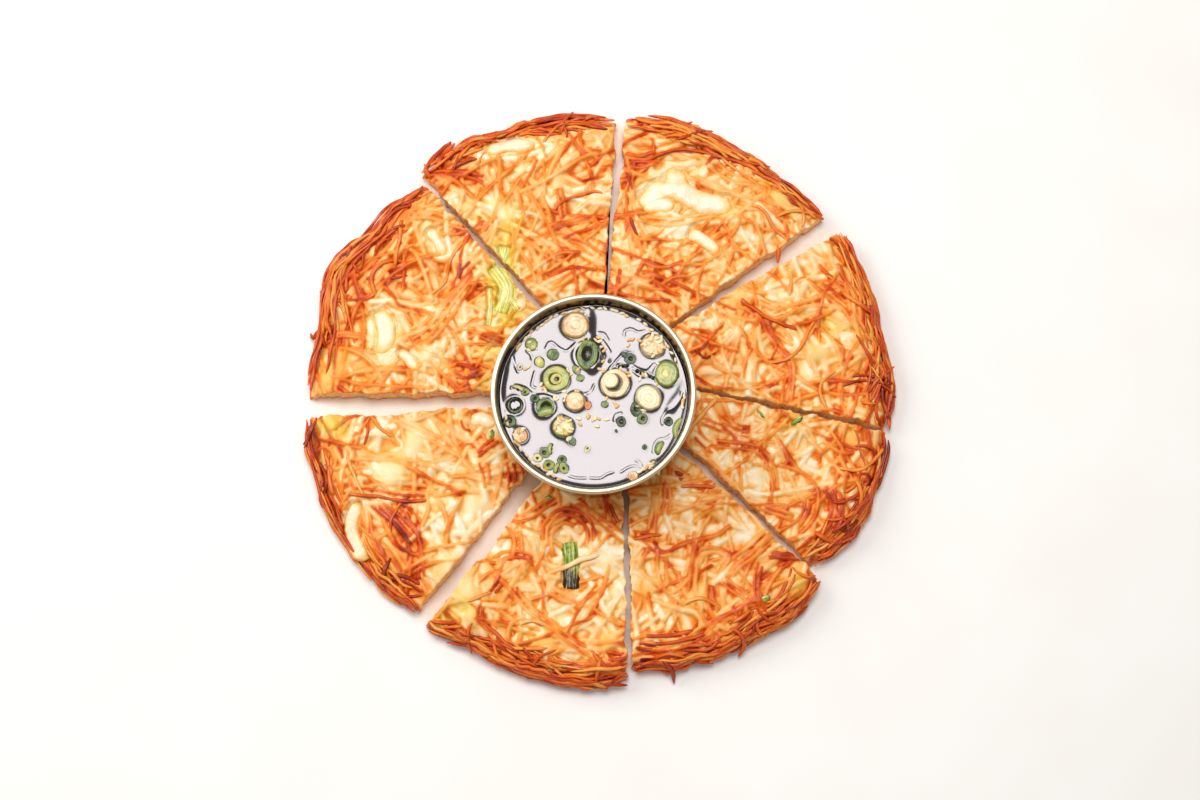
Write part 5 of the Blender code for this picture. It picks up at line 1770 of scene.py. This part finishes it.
def make_garnish(material):
    """The slices of spring onion and shallot, and the smaller bits in the dip."""
    for number, (piece, (kind, *looks)) in enumerate(zip(GARNISH, GARNISH_LOOKS), start=1):
        place, radius, hole, height, rise, tilt = piece
        draw = random.Random(SEED * 7 + number)
        bag = MeshBag()
        if tilt:
            tilt, rise = TILT_SHARE * tilt, TILTED_RISE
        size, hole_share, sunk = GARNISH_KINDS[kind]
        if hole_share is not None:
            hole = hole_share * radius
        radius *= size
        rise -= sunk
        add_onion(bag, place, radius, hole, height, rise, looks, draw, tilt)
        inner = looks[1]
        if kind == "ringed":
            core_looks = (inner - 0.04, inner, 1.08, 30.0)
            add_onion(bag, place, 0.94 * hole, 0.38 * hole, 1.2, rise - 0.25, core_looks, draw)
        if kind == "cup":
            core = Vector(place) + 0.38 * radius * polar(150.0, 1.0)
            core_looks = (inner + 0.04, inner, 1.05, 0.0)
            add_onion(bag, core, 0.56 * radius, 0.0, 1.2, rise - 0.05, core_looks, draw)
        thing = bag.make(f"garnish_{number}_looks", material)
        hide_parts(f"garnish_{number}")
    draw = random.Random(SEED * 13)
    bag = MeshBag()
    for x, y, radius, hole, tint, stretch in DIP_BITS:
        looks = (tint, tint - 0.12, stretch, draw.uniform(0.0, 180.0))
        add_onion(bag, (x, y), radius, hole, 1.8, draw.uniform(0.35, 0.7), looks, draw,
                  draw.uniform(-10.0, 10.0), 0.5)
    for x, y, length, width, turn, tint in DIP_SLIVERS:
        add_sliver(bag, x, y, length, width, turn, tint)
    bag.make("dip_bits", material)


def add_sliver(bag, x, y, length, width, turn, tint):
    """A sliver of green skin that floats in the dip."""
    middle = Vector(pot_point(x, y))
    half = 0.5 * length * polar(turn, 1.0)
    bend = 0.12 * length * polar(turn + 90.0, 1.0)
    line = curved([tuple(middle - half), tuple(middle + bend), tuple(middle + half)], 0.5)
    levels = np.full(len(line), SAUCE_LEVEL + 0.15 + 0.12 * width)
    points, side = strip(line, levels, width, 0.4)
    bag.add(points, ring_faces(len(line), STRIP_SIDES), tint=tint + 0.15 * side, dark=0.0)


def seed_places():
    """Where the sesame seeds lie: place round the pot's axis, turn, and height above the dip."""
    draw = random.Random(SEED * 17)
    edge = level_radius()
    places = []
    for start, end, count in SEEDS_AT_WALL:
        for index in range(count):
            turn = start + (end - start) * (index + draw.uniform(0.2, 0.8)) / count
            radius = edge - draw.uniform(1.1, 2.0)
            places.append((*polar(turn, radius), turn + 90.0 + draw.gauss(0.0, 16.0), 0.55))
    for number, count, reach in SEEDS_AT_GARNISH:
        place, radius, _, _, rise, _ = GARNISH[number - 1]
        for _ in range(count):
            spread = reach if reach >= 1.0 else reach * math.sqrt(draw.random()) + 0.2
            spot = polar(draw.uniform(0.0, 360.0), radius * spread * draw.uniform(0.95, 1.08))
            lift = 0.3 if spread >= 0.98 else rise + 0.35
            places.append((place[0] + spot.x, place[1] + spot.y, draw.uniform(0.0, 180.0), lift))
    for x, y, count in SEEDS_AFLOAT:
        for _ in range(count):
            shift_x, shift_y = draw.gauss(0.0, 1.8), draw.gauss(0.0, 1.8)
            places.append((x + shift_x, y + shift_y, draw.uniform(0.0, 180.0), 0.35))
    return places


def make_seeds(material):
    """Sesame seeds: flat and round-ended, a little narrower at one end."""
    draw = random.Random(SEED * 19)
    bag = MeshBag()
    for x, y, turn, lift in seed_places():
        length, width, depth = (size * draw.uniform(0.88, 1.08) for size in SEED_SIZE)
        ahead, left = polar(turn, 1.0), polar(turn + 90.0, 1.0)
        tilt = draw.uniform(-0.25, 0.25)
        points = []
        for ring in range(SEED_RINGS):
            share = 0.5 - 0.5 * math.cos(math.pi * (ring + 0.25) / (SEED_RINGS - 0.5))
            girth = math.sqrt(1.0 - abs(2.0 * share - 1.0) ** 2.2) * (1.12 - 0.34 * share)
            for side in range(SEED_SIDES):
                angle = 2.0 * math.pi * side / SEED_SIDES
                s = (share - 0.5) * length
                spot = ahead * s + left * 0.5 * width * girth * math.cos(angle)
                px, py = pot_point(x + spot.x, y + spot.y)
                points.append((px, py, SAUCE_LEVEL + lift + tilt * s + 0.5 * depth * girth * math.sin(angle)))
        bag.add(points, ring_faces(SEED_RINGS, SEED_SIDES), tint=draw.uniform(0.0, 1.0))
    bag.make("sesame_seeds", material)


# ------------------------------------------------------------------ materials

def linear(colour):
    """A colour written as #rrggbb, as linear values with full opacity."""
    parts = [int(colour[k:k + 2], 16) / 255.0 for k in (1, 3, 5)]
    return tuple(p / 12.92 if p <= 0.04045 else ((p + 0.055) / 1.055) ** 2.4 for p in parts) + (1.0,)


class Nodes:
    """A material's node tree, with short ways to add and join nodes."""

    def __init__(self, name, roughness=0.4, metallic=0.0):
        self.material = bpy.data.materials.new(name)
        self.material.use_nodes = True
        self.tree = self.material.node_tree
        self.shader = self.tree.nodes["Principled BSDF"]
        self.shader.inputs["Roughness"].default_value = roughness
        self.shader.inputs["Metallic"].default_value = metallic

    def add(self, kind, **settings):
        """A new node with some of its settings."""
        node = self.tree.nodes.new(kind)
        for key, value in settings.items():
            setattr(node, key, value)
        return node

    def join(self, source, target):
        """Link one socket to another."""
        self.tree.links.new(source, target)

    def put(self, socket, value):
        """Give a socket a link or a plain value."""
        if isinstance(value, bpy.types.NodeSocket):
            self.join(value, socket)
        else:
            socket.default_value = value

    def attribute(self, name):
        """A vertex value of the mesh."""
        return self.add("ShaderNodeAttribute", attribute_name=name).outputs["Fac"]

    def position(self, stretch=(1.0, 1.0, 1.0)):
        """The object's own coordinates in metres, stretched."""
        mapping = self.add("ShaderNodeMapping")
        mapping.inputs["Scale"].default_value = stretch
        self.join(self.add("ShaderNodeTexCoord").outputs["Object"], mapping.inputs["Vector"])
        return mapping.outputs["Vector"]

    def noise(self, size, detail=2.0, stretch=(1.0, 1.0, 1.0), rough=0.5):
        """Noise from 0 to 1 with lumps of about this size in millimetres."""
        node = self.add("ShaderNodeTexNoise")
        self.join(self.position(stretch), node.inputs["Vector"])
        node.inputs["Scale"].default_value = 1.0 / (size * MM)
        node.inputs["Detail"].default_value = detail
        node.inputs["Roughness"].default_value = rough
        return node.outputs["Fac"]

    def maths(self, operation, first, second=0.0, clamp=False):
        """A sum, product or other operation on two values."""
        node = self.add("ShaderNodeMath", operation=operation, use_clamp=clamp)
        self.put(node.inputs[0], first)
        self.put(node.inputs[1], second)
        return node.outputs[0]

    def plus_noise(self, value, noise_value, amount):
        """A value that noise moves up and down by up to half the amount."""
        centred = self.maths("SUBTRACT", noise_value, 0.5)
        return self.maths("ADD", value, self.maths("MULTIPLY", centred, amount))

    def ramp(self, value, stops):
        """Colours along a value from 0 to 1."""
        node = self.add("ShaderNodeValToRGB")
        elements = node.color_ramp.elements
        while len(elements) < len(stops):
            elements.new(0.5)
        for element, (place, colour) in zip(elements, stops):
            element.position = place
            element.color = linear(colour)
        self.join(value, node.inputs["Fac"])
        return node.outputs["Color"]

    def mix(self, share, first, second):
        """A blend of two colours."""
        node = self.add("ShaderNodeMix", data_type="RGBA")
        self.put(node.inputs["Factor"], share)
        self.put(node.inputs["A"], first)
        self.put(node.inputs["B"], second)
        return node.outputs["Result"]

    def spread(self, value, low, high):
        """A value from 0 to 1 spread between two others."""
        node = self.add("ShaderNodeMapRange")
        self.put(node.inputs["Value"], value)
        node.inputs["To Min"].default_value = low
        node.inputs["To Max"].default_value = high
        return node.outputs["Result"]

    def bump(self, height, distance, strength=1.0):
        """Fine relief on the surface, its depth in millimetres."""
        node = self.add("ShaderNodeBump")
        node.inputs["Distance"].default_value = distance * MM
        node.inputs["Strength"].default_value = strength
        self.join(height, node.inputs["Height"])
        self.join(node.outputs["Normal"], self.shader.inputs["Normal"])

    def colour(self, value):
        """Set the base colour."""
        self.put(self.shader.inputs["Base Color"], value)

    def set(self, **values):
        """Set plain values on the shader, by socket name with _ for spaces."""
        for key, value in values.items():
            self.shader.inputs[key.replace("_", " ")].default_value = value


SHRED_COLOURS = (
    (0.00, "#FDEACE"), (0.14, "#FBDBAA"), (0.28, "#F8C682"), (0.42, "#F4AC56"), (0.54, "#EF9032"),
    (0.66, "#DF6618"), (0.78, "#C6430E"), (0.90, "#9A2E0A"), (1.00, "#641C06"),
)
EGG_COLOURS = (
    (0.00, "#FDE7BC"), (0.20, "#FCD690"), (0.36, "#F9BF5C"), (0.50, "#F3A034"), (0.64, "#E68220"),
    (0.80, "#BE4A12"), (1.00, "#74220A"),
)
STAIN_COLOURS = (
    (0.00, "#F4E694"), (0.22, "#EAD45A"), (0.42, "#DDB92C"), (0.62, "#CC9420"), (0.85, "#A8641A"),
    (1.00, "#6A3408"),
)
FIBRE_LENGTH, FIBRE_WIDTH = 5.0, 0.42       # of the fine lines along a loose shred


def grain(nodes, *axes):
    """Noise from 0 to 1 in the mesh's own values: the name and the scale of each."""
    place = nodes.add("ShaderNodeCombineXYZ")
    for socket, (name, scale) in zip(place.inputs, axes):
        nodes.join(nodes.maths("MULTIPLY", nodes.attribute(name), scale), socket)
    lines = nodes.add("ShaderNodeTexNoise")
    nodes.join(place.outputs["Vector"], lines.inputs["Vector"])
    lines.inputs["Scale"].default_value = 1.0
    return lines.outputs["Fac"]


def pancake_material(name, loose):
    """Fried potato: cream to red-brown by the mesh's tone, which holds its browning and painted shade in
    crevices and at shred edges, oily in places.
    """
    nodes = Nodes(name)
    tone = nodes.plus_noise(nodes.attribute("tone"), nodes.noise(4.5), 0.14)
    tone = nodes.plus_noise(tone, nodes.noise(0.7, detail=3.0), 0.10)
    pits = nodes.noise(0.9, detail=3.0, rough=0.65)
    if loose:
        fibre = grain(nodes, ("along", 1.0 / FIBRE_LENGTH), ("across", 1.0 / FIBRE_WIDTH))
        nodes.colour(nodes.ramp(nodes.plus_noise(tone, fibre, 0.26), SHRED_COLOURS))
        pits = nodes.maths("ADD", pits, nodes.maths("MULTIPLY", fibre, 0.8))
    else:
        share = nodes.plus_noise(nodes.attribute("egg"), nodes.noise(4.0), 0.5)
        share = nodes.maths("MULTIPLY", share, 0.8, clamp=True)
        plain = nodes.mix(share, nodes.ramp(tone, SHRED_COLOURS), nodes.ramp(tone, EGG_COLOURS))
        known = nodes.maths("MULTIPLY", nodes.attribute("stain"), 1.5, clamp=True)
        uneven = nodes.plus_noise(nodes.attribute("stain"), nodes.noise(3.0), 0.7)
        stain = nodes.maths("MULTIPLY", known, nodes.maths("MULTIPLY", uneven, 0.85, clamp=True))
        nodes.colour(nodes.mix(stain, plain, nodes.ramp(tone, STAIN_COLOURS)))
    oil = nodes.noise(5.0)
    nodes.join(nodes.spread(oil, 0.5, 0.26), nodes.shader.inputs["Roughness"])
    nodes.join(nodes.spread(oil, -0.15, 0.75), nodes.shader.inputs["Specular IOR Level"])
    nodes.bump(pits, 0.14)
    nodes.set(Subsurface_Weight=0.3, Subsurface_Scale=0.0012)
    nodes.shader.inputs["Subsurface Radius"].default_value = (1.0, 0.4, 0.12)
    return nodes.material


def squid_material():
    """Cooked squid: smooth cream, golden towards its edges."""
    nodes = Nodes("squid_looks", roughness=0.28)
    edge = nodes.maths("MULTIPLY", nodes.maths("POWER", nodes.attribute("out"), 3.0), 0.62)
    value = nodes.plus_noise(edge, nodes.noise(5.0, detail=3.0), 0.65)
    nodes.colour(nodes.ramp(value, ((0.0, "#FCE9CA"), (0.16, "#FBDEAC"), (0.30, "#F8CA7A"), (0.46, "#F2AC4A"),
                                    (0.8, "#DE8430"))))
    nodes.bump(nodes.noise(1.8, detail=3.0), 0.2)
    nodes.set(Subsurface_Weight=0.2, Subsurface_Scale=0.002)
    return nodes.material


def leaf_stripes(nodes, fineness):
    """Uneven stripes along a piece of leaf, from 0 to 1."""
    return nodes.plus_noise(grain(nodes, ("across", fineness), ("along", 1.4)), nodes.noise(3.0), 0.25)


def leek_material():
    """Leek fried in batter: yellow-green with whitish ribs along it."""
    nodes = Nodes("leek_looks", roughness=0.3)
    rib = leaf_stripes(nodes, 9.0)
    nodes.colour(nodes.ramp(rib, ((0.28, "#98A41C"), (0.40, "#C6C22C"), (0.48, "#DCD056"), (0.56, "#F0EAB0"),
                                  (0.64, "#DDE49C"), (0.74, "#A4BE58"))))
    nodes.bump(rib, 0.5)
    return nodes.material


def scallion_material():
    """Spring onion: fresh green with fine ribs, charred dark at one end."""
    nodes = Nodes("scallion_looks", roughness=0.28)
    rib = leaf_stripes(nodes, 8.0)
    fresh = nodes.ramp(rib, ((0.34, "#3A4E08"), (0.44, "#6E8612"), (0.54, "#9CB034"), (0.66, "#D6DE8C")))
    charred = nodes.ramp(rib, ((0.38, "#120C08"), (0.49, "#2C2410"), (0.56, "#6A5A26"), (0.66, "#DCCB9C")))
    end = nodes.plus_noise(nodes.attribute("along"), nodes.noise(2.5), 0.35)
    burnt = nodes.maths("MULTIPLY", nodes.maths("SUBTRACT", end, 0.52), 9.0, clamp=True)
    nodes.colour(nodes.mix(burnt, fresh, charred))
    nodes.bump(rib, 0.5)
    return nodes.material


def pot_material():
    """Turned metal with faint lathe marks: pale at its rolled rim, partly pale outside, and dark brown inside
    below the rim, a painted reflection of dark surroundings.
    """
    nodes = Nodes("pot_metal_looks", metallic=1.0)
    marks = nodes.noise(0.35, stretch=(0.04, 0.04, 1.0))
    smudge = nodes.noise(11.0, detail=3.0)
    # Painted reflection: the dark brown that the inside wall shows in place of its dark surroundings
    painted_dark_reflection = nodes.ramp(smudge, ((0.25, "#47300F"), (0.5, "#65461F"), (0.8, "#87683A")))
    polish = nodes.attribute("polish")
    nodes.colour(nodes.mix(polish, painted_dark_reflection, linear("#DCCBAC")))
    rough = nodes.maths("ADD", nodes.spread(smudge, 0.14, 0.28), nodes.maths("MULTIPLY", polish, 0.2))
    nodes.join(rough, nodes.shader.inputs["Roughness"])
    nodes.bump(marks, 0.02)
    return nodes.material


def dip_material():
    """Soy dip: nearly black, with a glossy surface."""
    nodes = Nodes("soy_dip_looks", roughness=0.17)
    nodes.colour(nodes.ramp(nodes.noise(8.0), ((0.3, "#120A06"), (0.7, "#1C100A"))))
    nodes.set(IOR=1.6, Specular_IOR_Level=0.84)
    nodes.shader.inputs["Specular Tint"].default_value = (1.0, 0.955, 0.97, 1.0)
    return nodes.material


def garnish_material():
    """Spring onion and shallot: tan, cream, olive or green by the mesh's tint, with painted shade in its
    grooves and hole, and darker sides.
    """
    nodes = Nodes("dip_garnish_looks", roughness=0.22)
    tint = nodes.plus_noise(nodes.attribute("tint"), nodes.noise(2.6, detail=4.0, rough=0.65), 0.34)
    tint = nodes.maths("ADD", nodes.maths("MULTIPLY", tint, 0.9), 0.1)
    base = nodes.ramp(tint, ((0.0, "#D87408"), (0.06, "#DC9C48"), (0.13, "#EBC88E"), (0.26, "#F6E8BC"),
                             (0.38, "#E8DC94"), (0.50, "#C2BE54"), (0.62, "#94A03A"), (0.73, "#6C8438"),
                             (0.84, "#4A6832"), (0.93, "#2F4826"), (1.0, "#182415")))
    # Painted shade from the mesh's dark value: grooves and hole, and darker sides
    dark = nodes.plus_noise(nodes.attribute("dark"), nodes.noise(0.7), 0.35)
    nodes.colour(nodes.mix(nodes.maths("ADD", dark, 0.0, clamp=True), base, linear("#2A1606")))
    nodes.bump(nodes.noise(0.8, detail=3.0), 0.12)
    nodes.set(Subsurface_Weight=0.1, Subsurface_Scale=0.0015)
    return nodes.material


def seed_material():
    """Roasted sesame."""
    nodes = Nodes("sesame_looks", roughness=0.35)
    tint = nodes.plus_noise(nodes.attribute("tint"), nodes.noise(1.2), 0.5)
    nodes.colour(nodes.ramp(tint, ((0.1, "#FFF0CC"), (0.5, "#FDE0AC"), (0.85, "#EDB870"))))
    nodes.bump(nodes.noise(0.6), 0.06)
    return nodes.material


def floor_material():
    """A matt, nearly white table."""
    nodes = Nodes("floor", roughness=0.7)
    nodes.colour(nodes.ramp(nodes.noise(60.0), ((0.3, "#F6F3EF"), (0.7, "#F9F7F4"))))
    nodes.set(Specular_IOR_Level=0.2)
    return nodes.material


# ------------------------------------------------------------------ light, camera and floor

WORLD_LIGHT = 0.385
SOFTBOX = (0.48, 0.95, 5.6)      # width and distance in metres, and power in watts
SIDE_LIGHT = (0.8, 1.3, 8.0)
FLOOR_REACH = 6.0               # half the floor's width, in metres


def aim(thing, target):
    """Turn an object's -Z axis to a point."""
    thing.rotation_euler = (Vector(target) - thing.location).to_track_quat("-Z", "Y").to_euler()


def add_light(name, way, size, distance, power, colour, target):
    """A round area light that shines on the target from this direction."""
    data = bpy.data.lights.new(name, "AREA")
    data.shape = "DISK"
    data.size = size
    data.energy = power
    data.color = colour
    light = bpy.data.objects.new(name, data)
    bpy.context.scene.collection.objects.link(light)
    light.location = Vector(target) + distance * Vector(way).normalized()
    aim(light, target)


def make_stage():
    """Pale floor, soft light, and the camera at the photograph's angle."""
    scene = bpy.context.scene
    scene.view_settings.view_transform = "Standard"
    scene.view_settings.look = "None"
    data = bpy.data.meshes.new("floor")
    corners = ((-1, -1), (1, -1), (1, 1), (-1, 1))
    data.from_pydata([(FLOOR_REACH * x, FLOOR_REACH * y, 0.0) for x, y in corners], [], [(0, 1, 2, 3)])
    data.materials.append(floor_material())
    floor = bpy.data.objects.new("floor", data)
    scene.collection.objects.link(floor)
    floor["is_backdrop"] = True

    world = bpy.data.worlds.new("studio")
    world.use_nodes = True
    background = world.node_tree.nodes["Background"]
    background.inputs["Color"].default_value = (1.0, 0.985, 0.965, 1.0)
    background.inputs["Strength"].default_value = WORLD_LIGHT
    scene.world = world

    pot = to_frame([(POT_CENTRE.x, POT_CENTRE.y, SAUCE_LEVEL)])[0]
    mirrored = (0.0, SIGHT.y, -SIGHT.z)
    add_light("softbox", mirrored, *SOFTBOX, (1.0, 0.975, 0.96), pot)
    add_light("side_light", (-0.9, 0.5, 0.75), *SIDE_LIGHT, (1.0, 0.99, 0.97), pot)

    lens = bpy.data.cameras.new("camera")
    lens.lens = LENS
    lens.sensor_width = SENSOR
    lens.clip_start = 0.01
    lens.clip_end = 50.0
    camera = bpy.data.objects.new("camera", lens)
    scene.collection.objects.link(camera)
    camera.location = to_frame([tuple(CAMERA)])[0]
    aim(camera, to_frame([tuple(AIM)])[0])
    scene.camera = camera


def keep_sizes():
    """Work out the CAD model's box and the visual model's box, as plain lists."""
    boxes = {"cad": CAD_BOUNDS, "visual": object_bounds()}
    plain = {name: [[float(value) for value in corner] for corner in box] for name, box in boxes.items()}


def main():
    guides = guide_lines()
    relief = make_relief(guides)
    batter = pancake_material("batter_looks", loose=False)
    for number in SLICES:
        make_slice(relief, number, batter)
    make_shreds(relief, guides, pancake_material("shred_looks", loose=True))
    soft = {"squid": squid_material(), "leek": leek_material(), "scallion": scallion_material()}
    make_toppings(relief, soft)
    make_green_bits(relief, soft["scallion"])
    make_pot(pot_material())
    make_dip(dip_material())
    make_garnish(garnish_material())
    make_seeds(seed_material())
    make_stage()
    keep_sizes()


main()
